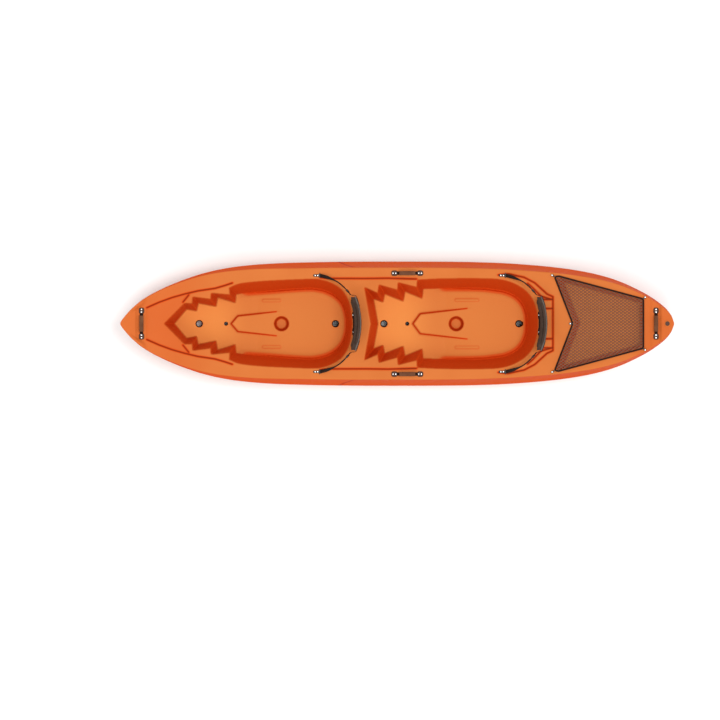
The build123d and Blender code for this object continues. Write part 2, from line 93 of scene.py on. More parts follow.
# ---------------------------------------------------------------------------
# Materials
# ---------------------------------------------------------------------------
class Nodes:
    """A short way to write a node tree."""

    def __init__(self, name):
        self.mat = bpy.data.materials.new(name)
        self.mat.use_nodes = True
        self.tree = self.mat.node_tree
        self.bsdf = self.tree.nodes["Principled BSDF"]
        self.at = self.new("ShaderNodeTexCoord").outputs["Object"]

    def new(self, kind, **values):
        node = self.tree.nodes.new(kind)
        for key, value in values.items():
            setattr(node, key, value)
        return node

    def link(self, a, b):
        self.tree.links.new(a, b)

    def stretched(self, scale):
        node = self.new("ShaderNodeMapping")
        node.inputs["Scale"].default_value = scale
        self.link(self.at, node.inputs["Vector"])
        return node.outputs["Vector"]

    def noise(self, scale, detail=3.0, rough=0.5, at=None):
        node = self.new("ShaderNodeTexNoise")
        node.inputs["Scale"].default_value = scale
        node.inputs["Detail"].default_value = detail
        node.inputs["Roughness"].default_value = rough
        self.link(at or self.at, node.inputs["Vector"])
        return node.outputs["Fac"]

    def wave(self, scale, direction, at=None, profile="SIN", distortion=0.0):
        node = self.new("ShaderNodeTexWave", wave_type="BANDS", bands_direction=direction, wave_profile=profile)
        node.inputs["Scale"].default_value = scale
        node.inputs["Distortion"].default_value = distortion
        self.link(at or self.at, node.inputs["Vector"])
        return node.outputs["Fac"]

    def maths(self, operation, a, b=None, c=None):
        node = self.new("ShaderNodeMath", operation=operation)
        for socket, value in zip(node.inputs, (a, b, c)):
            if value is None:
                continue
            if isinstance(value, (int, float)):
                socket.default_value = value
            else:
                self.link(value, socket)
        return node.outputs[0]

    def span(self, value, low, high, to_low, to_high):
        node = self.new("ShaderNodeMapRange", clamp=True)
        for key, number in (("From Min", low), ("From Max", high), ("To Min", to_low), ("To Max", to_high)):
            node.inputs[key].default_value = number
        self.link(value, node.inputs["Value"])
        return node.outputs["Result"]

    def mix(self, factor, a, b):
        node = self.new("ShaderNodeMix", data_type="RGBA")
        self.link(factor, node.inputs["Factor"]) if not isinstance(factor, (int, float)) else None
        if isinstance(factor, (int, float)):
            node.inputs["Factor"].default_value = factor
        for socket, value in ((node.inputs[6], a), (node.inputs[7], b)):
            if isinstance(value, tuple):
                socket.default_value = (*value, 1.0)
            else:
                self.link(value, socket)
        return node.outputs[2]

    def bump(self, height, distance, strength=1.0, normal=None):
        node = self.new("ShaderNodeBump")
        node.inputs["Distance"].default_value = distance
        node.inputs["Strength"].default_value = strength
        self.link(height, node.inputs["Height"])
        if normal is not None:
            self.link(normal, node.inputs["Normal"])
        return node.outputs["Normal"]

    def done(self, colour=None, rough=None, normal=None, **plain):
        if colour is not None:
            self.link(colour, self.bsdf.inputs["Base Color"])
        if rough is not None:
            if isinstance(rough, (int, float)):
                self.bsdf.inputs["Roughness"].default_value = rough
            else:
                self.link(rough, self.bsdf.inputs["Roughness"])
        if normal is not None:
            self.link(normal, self.bsdf.inputs["Normal"])
        for key, value in plain.items():
            self.bsdf.inputs[key.replace("_", " ")].default_value = value
        return self.mat


def lin(r, g, b):
    """sRGB 0-255 to linear."""
    return tuple((v / 255 / 12.92) if v / 255 <= 0.04045 else ((v / 255 + 0.055) / 1.055) ** 2.4 for v in (r, g, b))


def hull_plastic():
    """Rotomoulded polyethylene: waxy orange, faint mottling, orange peel, scuffed along the keel."""
    n = Nodes("moulded_orange")
    cloud = n.span(n.noise(3.2, 2.0), 0.35, 0.65, 0.0, 1.0)
    colour = n.mix(cloud, lin(191, 103, 48), lin(196, 108, 52))
    # painted light and shade, set by a vertex attribute: paler on the broad floors and paler still towards the footwell
    # ends (painted light); darker on the steep walls, darker still in the creases, dark brown in the scupper bores
    # (painted shade)
    tone = n.new("ShaderNodeAttribute", attribute_name="tone").outputs["Fac"]
    colour = n.mix(n.span(tone, -1.0, 0.0, 1.0, 0.0), colour, lin(196, 112, 54))
    colour = n.mix(n.span(tone, -2.0, -1.0, 1.0, 0.0), colour, lin(217, 134, 66))
    colour = n.mix(n.span(tone, 0.0, 1.0, 0.0, 1.0), colour, lin(194, 58, 9))
    colour = n.mix(n.span(tone, 1.0, 2.0, 0.0, 1.0), colour, lin(120, 38, 8))
    colour = n.mix(n.span(tone, 2.0, 3.0, 0.0, 1.0), colour, lin(48, 27, 19))
    speck = n.span(n.noise(700.0, 1.0), 0.66, 0.78, 0.0, 0.13)
    colour = n.mix(speck, colour, lin(226, 140, 84))
    # scuffs under the keel, drawn out along the hull
    place = n.new("ShaderNodeSeparateXYZ")
    n.link(n.at, place.inputs[0])
    low = n.span(place.outputs["Z"], 0.004, 0.075, 1.0, 0.0)
    streak = n.span(n.noise(26.0, 6.0, 0.68, n.stretched((0.10, 1.0, 1.0))), 0.53, 0.66, 0.0, 1.0)
    scuff = n.maths("MULTIPLY", low, streak)
    colour = n.mix(n.maths("MULTIPLY", scuff, 0.34), colour, lin(222, 150, 108))
    rough = n.span(n.noise(34.0, 4.0, 0.6), 0.3, 0.7, 0.42, 0.53)
    rough = n.maths("ADD", rough, n.maths("MULTIPLY", scuff, 0.22))
    peel = n.noise(260.0, 2.0, 0.5)
    normal = n.bump(peel, 0.00022, 0.55)
    normal = n.bump(scuff, 0.0004, 0.5, normal)
    return n.done(colour, rough, normal, Specular_IOR_Level=0.03)


def black_plastic(name="moulded_black", shade=(30, 29, 29), grain=900.0):
    n = Nodes(name)
    fleck = n.noise(60.0, 3.0)
    colour = n.mix(n.span(fleck, 0.3, 0.7, 0.0, 1.0), lin(*shade), lin(*[v + 11 for v in shade]))
    rough = n.span(n.noise(120.0, 3.0), 0.3, 0.7, 0.38, 0.56)
    return n.done(colour, rough, n.bump(n.noise(grain, 2.0), 0.00012, 0.6), Specular_IOR_Level=0.25)


def rubber(name, shade):
    n = Nodes(name)
    fine = n.noise(420.0, 3.0, 0.6)
    colour = n.mix(n.span(n.noise(24.0, 4.0), 0.3, 0.7, 0.0, 1.0), lin(*shade), lin(*[min(255, v + 16) for v in shade]))
    rough = n.span(fine, 0.3, 0.7, 0.58, 0.76)
    return n.done(colour, rough, n.bump(fine, 0.00018, 0.6), Specular_IOR_Level=0.15)


def stainless():
    n = Nodes("stainless_steel")
    brushed = n.noise(900.0, 2.0, 0.5, n.stretched((1.0, 0.06, 1.0)))
    colour = n.mix(n.span(brushed, 0.3, 0.7, 0.0, 1.0), (0.56, 0.55, 0.54), (0.70, 0.69, 0.68))
    rough = n.span(n.noise(180.0, 3.0), 0.3, 0.7, 0.20, 0.34)
    return n.done(colour, rough, n.bump(brushed, 0.00004, 0.4), Metallic=1.0)


def webbing(name="webbing_black", shade=(28, 14, 9)):
    """Woven polyester webbing: ribs across the strap and fine warp along it."""
    n = Nodes(name)
    ribs = n.wave(1.0 / 0.0021 / 6.283 * 3.1416, "DIAGONAL", distortion=0.4)
    warp = n.noise(1400.0, 2.0)
    both = n.maths("ADD", ribs, n.maths("MULTIPLY", warp, 0.7))
    colour = n.mix(n.span(both, 0.2, 1.4, 0.0, 1.0), lin(*shade), lin(*[v + 10 for v in shade]))
    rough = n.span(warp, 0.3, 0.7, 0.62, 0.82)
    return n.done(colour, rough, n.bump(both, 0.00028, 0.8), Specular_IOR_Level=0.12)


def pack_cloth(name="pack_cloth", shade=(50, 48, 47)):
    """Plain-woven nylon: crossed threads about a millimetre apart, with a soft sheen."""
    n = Nodes(name)
    across = n.wave(520.0, "Y")
    along = n.wave(520.0, "Z")
    weave = n.maths("MULTIPLY", across, along)
    patch = n.noise(16.0, 4.0, 0.6)
    colour = n.mix(n.span(patch, 0.3, 0.7, 0.0, 1.0), lin(*shade), lin(*[v + 14 for v in shade]))
    colour = n.mix(n.maths("MULTIPLY", weave, 0.35), colour, lin(*[v + 24 for v in shade]))
    rough = n.span(n.noise(90.0, 3.0), 0.3, 0.7, 0.60, 0.80)
    normal = n.bump(weave, 0.00030, 0.7)
    normal = n.bump(n.noise(38.0, 4.0, 0.6), 0.0011, 0.5, normal)
    return n.done(colour, rough, normal, Specular_IOR_Level=0.14)


def net_thread():
    n = Nodes("net_thread")
    twist = n.wave(420.0, "DIAGONAL", distortion=1.0)
    colour = n.mix(n.span(n.noise(50.0, 3.0), 0.3, 0.7, 0.0, 1.0), lin(110, 70, 50), lin(124, 80, 58))
    rough = n.span(n.noise(300.0, 2.0), 0.3, 0.7, 0.60, 0.80)
    return n.done(colour, rough, n.bump(twist, 0.0002, 0.7), Specular_IOR_Level=0.25)


def braid():
    """Braided cover of the elastic cord."""
    n = Nodes("braided_cord")
    one = n.wave(260.0, "DIAGONAL")
    two = n.wave(260.0, "DIAGONAL", n.stretched((1.0, -1.0, 1.0)))
    both = n.maths("MAXIMUM", one, two)
    colour = n.mix(n.span(both, 0.3, 1.0, 0.0, 1.0), lin(24, 9, 7), lin(40, 17, 13))
    rough = n.span(n.noise(400.0, 2.0), 0.3, 0.7, 0.58, 0.78)
    return n.done(colour, rough, n.bump(both, 0.0005, 0.8), Specular_IOR_Level=0.12)


def floor_paint():
    n = Nodes("studio_floor")
    cloud = n.noise(1.3, 4.0, 0.6)
    colour = n.mix(n.span(cloud, 0.3, 0.7, 0.0, 1.0), (0.88, 0.88, 0.88), (0.905, 0.905, 0.905))
    rough = n.span(n.noise(14.0, 3.0), 0.3, 0.7, 0.82, 0.92)
    return n.done(colour, rough, n.bump(n.noise(90.0, 3.0), 0.0002, 0.3), Specular_IOR_Level=0.1)


M_HULL = hull_plastic()
M_BLACK = black_plastic()
M_GREY = black_plastic("moulded_brown", (60, 33, 22), 700.0)
M_DRAIN = black_plastic("drain_plastic", (66, 30, 16), 800.0)
M_GRIP = rubber("grip_rubber", (88, 50, 28))
M_SEAL = rubber("seal_rubber", (24, 23, 23))
M_STEEL = stainless()
M_WEB = webbing()
M_CLOTH = pack_cloth("pack_cloth", (54, 38, 29))
M_BACK = pack_cloth("back_panel_cloth", (36, 29, 25))
# the binding tape is a lighter grey than the cloth; this colour also serves as a painted highlight along the seat
# back's top edge
M_BIND = webbing("binding_tape", (92, 84, 78))
M_NET = net_thread()
M_CORD = braid()
M_FLOOR = floor_paint()


def finish_mesh(ob, material, body, smooth=True):
    ob.data.materials.clear()
    ob.data.materials.append(material)
    if smooth:
        for poly in ob.data.polygons:
            poly.use_smooth = True
    if body:
        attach(ob, body)
    return ob


def new_object(name, verts, faces):
    mesh = bpy.data.meshes.new(name)
    mesh.from_pydata([tuple(v) for v in verts], [], faces)
    mesh.update()
    ob = bpy.data.objects.new(name, mesh)
    scene.collection.objects.link(ob)
    return ob


def apply_modifiers(ob):
    graph = bpy.context.evaluated_depsgraph_get()
    made = bpy.data.meshes.new_from_object(ob.evaluated_get(graph))
    old = ob.data
    ob.modifiers.clear()
    ob.data = made
    bpy.data.meshes.remove(old)
    return ob


# floor
fl = new_object("floor", [(-60, -60, 0), (60, -60, 0), (60, 60, 0), (-60, 60, 0)], [(0, 1, 2, 3)])
fl.location.z = -0.0008
fl.data.materials.append(M_FLOOR)

# ---------------------------------------------------------------------------
# Hull. Millimetres here, turned to metres when the mesh is made. The tables
# are the ones the CAD hull is lofted and cut from.
# ---------------------------------------------------------------------------
FOOT, SEAT, TANK, DECK = 108.0, 132.0, 205.0, 308.3
SHEER = [(-1830, 395.0), (-1702, 395.0), (-1684, 381.0), (-1636, 381.0), (-1540, 365.1), (-1384, 346.5),
         (-1267, 334.4), (-1150, 325.8), (-955, 315.5), (-683, DECK), (1000, DECK), (1640, 316.3),
         (1656, 322.0), (1702, 322.0), (1716, 334.5), (1785, 334.5), (1830, 330.0)]
STATIONS = [
    (-1796.0, 9.0, 368.0, 375.0, 387.5), (-1782.0, 29.0, 334.0, 343.5, 385.4), (-1760.0, 56.5, 297.5, 319.5, 383.5),
    (-1734.8, 84.5, 261.1, 303.2, 381.8), (-1695.8, 121.5, 206.4, 289.6, 378.0),
    (-1656.9, 152.5, 164.4, 276.5, 370.2), (-1605.0, 185.5, 115.7, 259.0, 361.5), (-1540.1, 219.5, 75.7, 237.0, 351.5),
    (-1462.2, 255.0, 47.4, 211.5, 339.4), (-1371.3, 290.5, 27.4, 181.5, 325.0), (-1267.5, 324.5, 14.4, 149.5, 308.4),
    (-1150.7, 352.5, 6.5, 118.0, 289.2), (-1020.9, 373.2, 3.4, 88.5, 270.5), (-852.1, 388.2, 1.2, 61.5, 254.0),
    (-657.4, 396.5, 0.0, 47.0, 239.5), (-397.8, 401.6, 0.0, 42.6, 226.5), (-138.2, 403.5, 0.0, 41.3, 209.5),
    (147.3, 403.5, 0.0, 42.1, 205.0), (406.9, 401.8, 0.0, 43.7, 202.0), (640.6, 395.5, 0.0, 45.6, 200.8),
    (861.2, 381.9, 0.0, 49.0, 201.8), (1055.9, 362.5, 1.0, 55.6, 204.4), (1211.7, 338.5, 4.2, 63.5, 208.5),
    (1341.5, 308.5, 10.5, 73.0, 214.3), (1445.3, 274.5, 18.5, 84.5, 221.9), (1536.2, 234.0, 29.5, 100.0, 232.5),
    (1614.1, 193.5, 46.7, 121.9, 246.1), (1672.5, 156.4, 74.2, 152.1, 262.0), (1717.9, 122.0, 115.4, 190.7, 278.9),
    (1750.4, 91.8, 167.5, 232.9, 294.1), (1773.1, 61.0, 226.8, 271.5, 307.9), (1789.6, 28.0, 285.2, 304.7, 320.2),
    (1796.0, 9.0, 306.0, 315.0, 324.5),
]
TUMBLE = [(-1800, 1), (-1540, 4), (-1267, 14), (-1020, 26), (-850, 32), (-657, 38), (-138, 40), (861, 40),
          (1200, 34), (1445, 24), (1614, 16), (1718, 12), (1800, 3)]
CHINE = [(-1800, 0.60), (-1657, 0.56), (-1540, 0.58), (-1371, 0.64), (-1020, 0.74), (-657, 0.79), (0, 0.80),
         (900, 0.80), (1341, 0.78), (1614, 0.72), (1800, 0.65)]
KEEL = [(-1800, 3), (-1773, 9), (-1735, 14), (-1657, 20), (-1540, 32), (-1371, 62), (-1150, 100), (-852, 135),
        (-398, 150), (861, 150), (1341, 108), (1536, 70), (1614, 55), (1718, 30), (1773, 14), (1800, 3)]
F_DECK = [(-1513, 0), (-1380, 133), (-1330, 131), (-1329, 174), (-1212, 160), (-1209, 198), (-1087, 189), (-1091, 234)]
F_FLOOR = [(-1447, 0), (-1368, 94), (-1303, 81), (-1292, 133), (-1176, 110), (-1166, 171), (-1051, 133), (-1046, 189)]
F_RIM = [(-1021, 261), (-878, 277), (-696, 286), (-545, 291), (-489, 285), (-431, 267), (-369, 229), (-329, 178),
         (-306, 120), (-295, 54), (-291, 0)]
F_FLOOR_RIM = [(-982, 198), (-852, 207), (-696, 219), (-573, 225), (-515, 220), (-463, 207), (-411, 181),
               (-369, 143), (-343, 95), (-330, 40), (-327, 0)]
R_DECK = [(-173, 0), (-215, 238), (-129, 200), (-120, 254), (-1, 221), (4, 269), (125, 239), (129, 286)]
R_FLOOR = [(-123, 0), (-151, 159), (-90, 138), (-79, 191), (41, 143), (53, 207), (164, 161), (171, 225)]
R_RIM = [(277, 293), (472, 295), (608, 293), (676, 287), (731, 273), (785, 249), (839, 211), (881, 157),
         (904, 94), (913, 42), (914, 0)]
R_FLOOR_RIM = [(297, 227), (439, 227), (550, 224), (631, 215), (689, 206), (741, 187), (783, 159), (816, 116),
               (833, 71), (839, 35), (840, 0)]
T_DECK = [(1151, 0), (1029, 293), (1047, 301), (1592, 152)]
T_BED = [(1189, 0), (1088, 262), (1098, 266), (1580, 135)]
F_CONSOLE = [(-1081, 0), (-1037, 51), (-755, 82)]
R_CONSOLE = [(101, 0), (149, 65), (485, 103)]
SCUPPERS = [-1287.6, -401.1, -86.3, 791.1]
SMALL_SCUPPERS = [-1113.0, 65.5]
CUPS = [-752.5, 383.6]
DRAIN_X = 1752.9


def table(rows, x):
    a = np.array(rows, float)
    return np.interp(x, a[:, 0], a[:, 1])


def smooth_curve(xs, ys, x):
    """Monotone cubic through the stations."""
    xs, ys = np.asarray(xs, float), np.asarray(ys, float)
    h, d = np.diff(xs), np.diff(ys) / np.diff(xs)
    m = np.zeros(len(xs))
    m[0], m[-1] = d[0], d[-1]
    same = d[:-1] * d[1:] > 0
    w1, w2 = 2 * h[1:] + h[:-1], h[1:] + 2 * h[:-1]
    inner = np.zeros(len(d) - 1)
    inner[same] = (w1 + w2)[same] / (w1[same] / d[:-1][same] + w2[same] / d[1:][same])
    m[1:-1] = inner
    k = np.clip(np.searchsorted(xs, x) - 1, 0, len(h) - 1)
    t = (x - xs[k]) / h[k]
    return ((2 * t**3 - 3 * t**2 + 1) * ys[k] + (t**3 - 2 * t**2 + t) * h[k] * m[k]
            + (-2 * t**3 + 3 * t**2) * ys[k + 1] + (t**3 - t**2) * h[k] * m[k + 1])


def through(points, steps=10):
    """Dense smooth line through the points (Catmull-Rom)."""
    p = np.array(points, float)
    p = np.vstack([2 * p[0] - p[1], p, 2 * p[-1] - p[-2]])
    out = []
    for i in range(1, len(p) - 2):
        for t in np.arange(steps) / steps:
            a, b, c, d = p[i - 1:i + 3]
            out.append(0.5 * (2 * b + (c - a) * t + (2 * a - 5 * b + 4 * c - d) * t**2 + (3 * b - 3 * c + d - a) * t**3))
    out.append(p[-2])
    return np.array(out)


def outline(corners, rim):
    """Closed outline of a well: straight corners, then the smooth rim, then the port half."""
    side = [tuple(p) for p in corners]
    if len(rim):
        side += [tuple(p) for p in through([corners[-1]] + list(rim))[1:]]
        return np.array(side + [(x, -y) for x, y in reversed(side[1:-1])])
    return np.array(side + [(x, -y) for x, y in reversed(side[1:])])


def inside(poly, X, Y):
    hit = np.zeros(X.shape, bool)
    for (x0, y0), (x1, y1) in zip(poly, np.roll(poly, -1, 0)):
        if y0 == y1:
            continue
        cross = ((Y >= y0) != (Y >= y1)) & (X < (x1 - x0) * (Y - y0) / (y1 - y0) + x0)
        hit ^= cross
    return hit


def distance(line, X, Y, reach=60.0):
    """Distance to an open line, worked out only near it."""
    best = np.full(X.shape, 1e3)
    for (x0, y0), (x1, y1) in zip(line[:-1], line[1:]):
        i0, i1 = np.searchsorted(GX, [min(x0, x1) - reach, max(x0, x1) + reach])
        j0, j1 = np.searchsorted(GY, [min(y0, y1) - reach, max(y0, y1) + reach])
        x, y = X[i0:i1, j0:j1], Y[i0:i1, j0:j1]
        if not x.size:
            continue
        ux, uy = x1 - x0, y1 - y0
        t = np.clip(((x - x0) * ux + (y - y0) * uy) / (ux * ux + uy * uy), 0, 1)
        d = np.hypot(x - x0 - t * ux, y - y0 - t * uy)
        best[i0:i1, j0:j1] = np.minimum(best[i0:i1, j0:j1], d)
    return best


def smoothstep(a, b, v):
    t = np.clip((v - a) / (b - a), 0, 1)
    return t * t * (3 - 2 * t)


def wall_heights(lower, upper, low, X, Y, tops):
    """Height of the ruled walls between a floor outline and a deck outline; NaN elsewhere."""
    out = np.full(X.shape, np.nan)
    n = len(lower)
    for k in range(n):
        A, B, C, D = lower[k], lower[(k + 1) % n], upper[(k + 1) % n], upper[k]
        if np.hypot(*(B - A)) + np.hypot(*(C - D)) < 1e-6:
            continue
        box = np.array([A, B, C, D])
        i0, i1 = np.searchsorted(GX, [box[:, 0].min() - 1, box[:, 0].max() + 1])
        j0, j1 = np.searchsorted(GY, [box[:, 1].min() - 1, box[:, 1].max() + 1])
        x, y = X[i0:i1, j0:j1], Y[i0:i1, j0:j1]
        if not x.size:
            continue
        E, F, G = B - A, D - A, A - B + C - D
        hx, hy = x - A[0], y - A[1]
        k2 = G[0] * F[1] - G[1] * F[0]
        k1 = E[0] * F[1] - E[1] * F[0] + hx * G[1] - hy * G[0]
        k0 = hx * E[1] - hy * E[0]
        found = np.full(x.shape, np.nan)
        roots = []
        if abs(k2) < 1e-6:
            roots.append(-k0 / np.where(np.abs(k1) < 1e-9, 1e-9, k1))
        else:
            disc = k1 * k1 - 4 * k2 * k0
            r = np.sqrt(np.maximum(disc, 0))
            roots += [(-k1 + r) / (2 * k2), (-k1 - r) / (2 * k2)]
        for v in roots:
            px, py = E[0] + G[0] * v, E[1] + G[1] * v
            u = np.where(np.abs(px) > np.abs(py), (hx - F[0] * v) / np.where(np.abs(px) < 1e-9, 1e-9, px),
                         (hy - F[1] * v) / np.where(np.abs(py) < 1e-9, 1e-9, py))
            ok = (v >= -1e-4) & (v <= 1.0001) & (u >= -1e-4) & (u <= 1.0001)
            if abs(k2) >= 1e-6:
                ok &= disc >= 0
            top = tops[i0:i1, j0:j1]
            z = low + np.clip(v, 0, 1) * (top - low)
            found = np.where(ok & (np.isnan(found) | (z < found)), z, found)
        old = out[i0:i1, j0:j1]
        out[i0:i1, j0:j1] = np.where(np.isnan(old), found, np.where(np.isnan(found), old, np.minimum(old, found)))
    return out


STEP = 2.5
GX = np.arange(-1812, 1812 + STEP, STEP)
GY = np.arange(-416, 416 + STEP, STEP)
X, Y = np.meshgrid(GX, GY, indexing="ij")


def blurred(field, sigma):
    """Gaussian blur of the height map, sigma in millimetres."""
    s = sigma / STEP
    r = int(math.ceil(3 * s))
    kernel = np.exp(-0.5 * (np.arange(-r, r + 1) / s) ** 2)
    kernel /= kernel.sum()
    for axis in (0, 1):
        padded = np.pad(field, [(r, r) if a == axis else (0, 0) for a in (0, 1)], mode="edge")
        field = sum(w * np.take(padded, np.arange(i, i + field.shape[axis]), axis=axis) for i, w in enumerate(kernel))
    return field


def deck_map():
    edge = smooth_curve([s[0] for s in STATIONS], [s[1] for s in STATIONS], np.clip(GX, -1796, 1796))
    edge = edge - table(TUMBLE, GX) * np.minimum(1, edge / 60)
    E = np.broadcast_to(edge[:, None], X.shape)
    plain = np.broadcast_to(table(SHEER, GX)[:, None], X.shape).copy()
    deck = plain.copy()
    A = np.abs(Y)
    # raised gunwales on both sides of the bow handle
    share = smoothstep(0.70, 0.90, A / np.maximum(E, 20))
    deck += share * 22 * smoothstep(-1702, -1684, X) * (1 - smoothstep(-1660, -1622, X))
    deck += share * 9 * smoothstep(-1745, -1715, X) * (1 - smoothstep(-1702, -1684, X))
    # inner bow deck, a little lower than the gunwale band
    crease = [(-1625, 102.9), (-1543, 139.2), (-1459.5, 169.5), (-1376.5, 193.0), (-1353, 190.0), (-1391, 140.0)]
    tri = np.array([(-1632, 0), (-1632, 96)] + crease + [(-1380, 120), (-1500, 0), (-1380, -120)]
                   + [(x, -y) for x, y in reversed(crease)] + [(-1632, -96)])
    rim = np.vstack([tri[:9], ])
    d = np.minimum(distance(rim, X, Y), distance(rim * [1, -1], X, Y))
    sunk = inside(tri, X, Y)
    deck -= 8.0 * np.where(sunk, smoothstep(0, 12, d), 0)
    # slim grooves that follow the inner edge of the gunwale, each also painted darker along its length as painted shade
    lines = [
        [(-1625, 102.9), (-1543, 139.2), (-1459.5, 169.5), (-1376.5, 193.0), (-1294, 212.5), (-1183, 229.0), (-1118, 248.0), (-1070, 264.0)],
        [(-500, 300.0), (-430, 293.5), (-200, 293.0), (-60, 295.0), (125, 290.0)],
        [(655, 316.0), (720, 322.0), (823, 300.6), (892.3, 264.3), (950, 212), (971, 192.3), (1009, 175.0)],
        [(845, 262.0), (880, 232.0), (931, 178.0), (1003, 157.0)],
        [(952, 157.0), (1004, 157.0)], [(925, 98.0), (1004, 98.0)],
        [(1009.5, 175.0), (1009.5, 0.0)],
        [(-1391, 139.0), (-1353, 186.0)],
    ]
    depth = [5.5, 4.6, 4.8, 4.2, 4.0, 4.0, 5.0, 5.0]
    cut, drawn = np.zeros(X.shape), np.zeros(X.shape)
    for line, deep in zip(lines, depth):
        near = np.minimum(distance(np.array(line), X, Y), distance(np.array(line) * [1, -1], X, Y))
        cut = np.maximum(cut, deep * np.exp(-((near / 5.0) ** 2)))
        drawn = np.maximum(drawn, 2.5 * np.exp(-((near / 5.6) ** 2)))
    deck -= cut
    # painted shade: the lowered bow triangle is painted a little darker, and the deck a little darker towards both ends
    drawn = np.maximum(drawn, np.where(sunk, 0.36, 0.0))
    drawn = np.maximum(drawn, 0.25 * (1 - smoothstep(-1500, -1050, X)) + 0.25 * smoothstep(1450, 1640, X))
    # shallow pocket behind the rear seat
    deck -= 5.0 * smoothstep(968, 980, X) * (1 - smoothstep(998, 1006, X)) * (1 - smoothstep(86, 94, A))

    # wells
    tone = np.full(X.shape, -9.0)
    height = deck.copy()
    wells = (
        (F_DECK, F_FLOOR, F_RIM, F_FLOOR_RIM, (-905, -755), F_CONSOLE, CUPS[0], (-878, -755, 151)),
        (R_DECK, R_FLOOR, R_RIM, R_FLOOR_RIM, (315, 485), R_CONSOLE, CUPS[1], (374, 533, 154)),
    )
    for deck_pts, floor_pts, rim_pts, low_rim, ramp, console, cup, ridge in wells:
        lower, upper = outline(floor_pts, low_rim), outline(deck_pts, rim_pts)
        walls = wall_heights(lower, upper, FOOT, X, Y, deck)
        pit = inside(lower, X, Y)
        floor = FOOT + (SEAT - FOOT) * np.clip((X - ramp[0]) / (ramp[1] - ramp[0]), 0, 1)
        table_top = np.array([(console[0][0], 0), console[1], console[2], (console[2][0], -console[2][1]),
                              (console[1][0], -console[1][1])])
        on_top = inside(table_top, X, Y)
        floor = np.where(on_top, SEAT, floor)
        # the floor turns up into the side and back walls in a broad soft curve
        turn_line = through([floor_pts[-1]] + list(low_rim))
        toe = np.minimum(distance(turn_line, X, Y), distance(turn_line * [1, -1], X, Y))
        begin = smoothstep(low_rim[0][0] - 60, low_rim[0][0] + 25, X)
        floor = floor + np.where(pit, 17.0 * begin * (1 - smoothstep(0, 44, toe)) ** 1.4, 0.0)
        edge_of_top = np.minimum(distance(np.array(console), X, Y), distance(np.array(console) * [1, -1], X, Y))
        # painted shade at the foot of the side and back walls, and a painted dark line along the edge of the console
        # top
        shade = np.where(pit, np.maximum(0.95 * begin * (1 - smoothstep(0, 36, toe)),
                                         1.5 * np.exp(-((edge_of_top / 5.5) ** 2)) * (X < console[2][0] - 25)), 0.0)
        # soft ribs each side of the seat, with painted shade along their flanks
        for s in (-1, 1):
            along = np.clip(X, ridge[0] + 10, ridge[1] - 10)
            gone = np.hypot(X - along, Y - s * ridge[2])
            floor = floor + 5.5 * np.exp(-(gone / 8.5) ** 2)
            shade = np.maximum(shade, 0.90 * np.exp(-(((gone - 9.5) / 3.5) ** 2)))
        # cup holder, with a small raised lip
        r = np.hypot(X - cup, Y)
        cup_floor = SEAT - 58.0
        bowl = np.where(r < 33, cup_floor, cup_floor + (r - 33) / 15.0 * 58.0)
        floor = floor + 2.2 * np.exp(-((r - 53.5) / 3.6) ** 2)
        floor = np.where(r < 48, np.minimum(floor, bowl), floor)
        # dished scuppers
        for x in SCUPPERS:
            r = np.hypot(X - x, Y)
            floor = floor - 2.6 * (1 - smoothstep(24, 33, r))
        for x in SMALL_SCUPPERS:
            r = np.hypot(X - x, Y)
            floor = floor - 1.8 * (1 - smoothstep(13, 19, r))
        wall = np.where(np.isnan(walls), 1e6, walls)
        z = np.where(pit, floor, np.where(np.isnan(walls), deck, np.maximum(np.minimum(wall, deck), floor)))
        height = np.where(pit | ~np.isnan(walls), z, height)
        # painted shade on the steep walls of the well
        steep = ~np.isnan(walls) & ~pit & (z < deck - 2)
        tone = np.maximum(tone, np.where(steep, 0.93, -9.0))
        # painted shade on the sloping wall of the cup holder, and a lighter painted shade on its bottom
        r = np.hypot(X - cup, Y)
        shade = np.maximum(shade, np.where((r > 32) & (r < 50), 1.35, 0.0))
        shade = np.where(r <= 32, 0.35, shade)
        # painted light: the pit floors are painted paler, most of all towards the footwell end, except where the
        # painted shade above is set
        well_end = 1 - smoothstep(ramp[0] - 300, ramp[0] - 40, X)
        drawn = np.where(pit, shade - (1.0 + 0.85 * well_end) * (1 - smoothstep(0.0, 0.6, shade)), drawn)
    lower, upper = outline(T_BED, []), outline(T_DECK, [])
    walls = wall_heights(lower, upper, TANK, X, Y, deck)
    pit = inside(lower, X, Y)
    # low ribs in the bed of the stern well
    bed = TANK + 4.0 * np.exp(-((np.mod(Y + 45, 90) - 45) / 9.0) ** 2) * smoothstep(1215, 1235, X) * (1 - smoothstep(1545, 1562, X))
    height = np.where(pit, bed, np.where(np.isnan(walls), height, np.minimum(walls, deck)))
    # painted shade on the walls of the stern well, painted light on its bed
    tone = np.maximum(tone, np.where(~np.isnan(walls) & ~pit, 0.7, -9.0))
    drawn = np.where(pit, -1.5, drawn)
    # edges rounded as a moulding is: the deck creases stay finer than the wells
    fine = blurred(height, 2.2)
    soft = blurred(height, 4.2)
    rough = blurred(np.abs(height - soft), 6.0)
    mixed = fine + (soft - fine) * smoothstep(1.0, 6.0, rough)
    return mixed, blurred(np.maximum(tone, drawn), 2.6)


def sample(field, x, y):
    """Bilinear value of a map at points."""
    fx, fy = (x - GX[0]) / STEP, (y - GY[0]) / STEP
    i, j = np.clip(fx.astype(int), 0, len(GX) - 2), np.clip(fy.astype(int), 0, len(GY) - 2)
    u, v = fx - i, fy - j
    return (field[i, j] * (1 - u) * (1 - v) + field[i + 1, j] * u * (1 - v) + field[i, j + 1] * (1 - u) * v
            + field[i + 1, j + 1] * u * v)


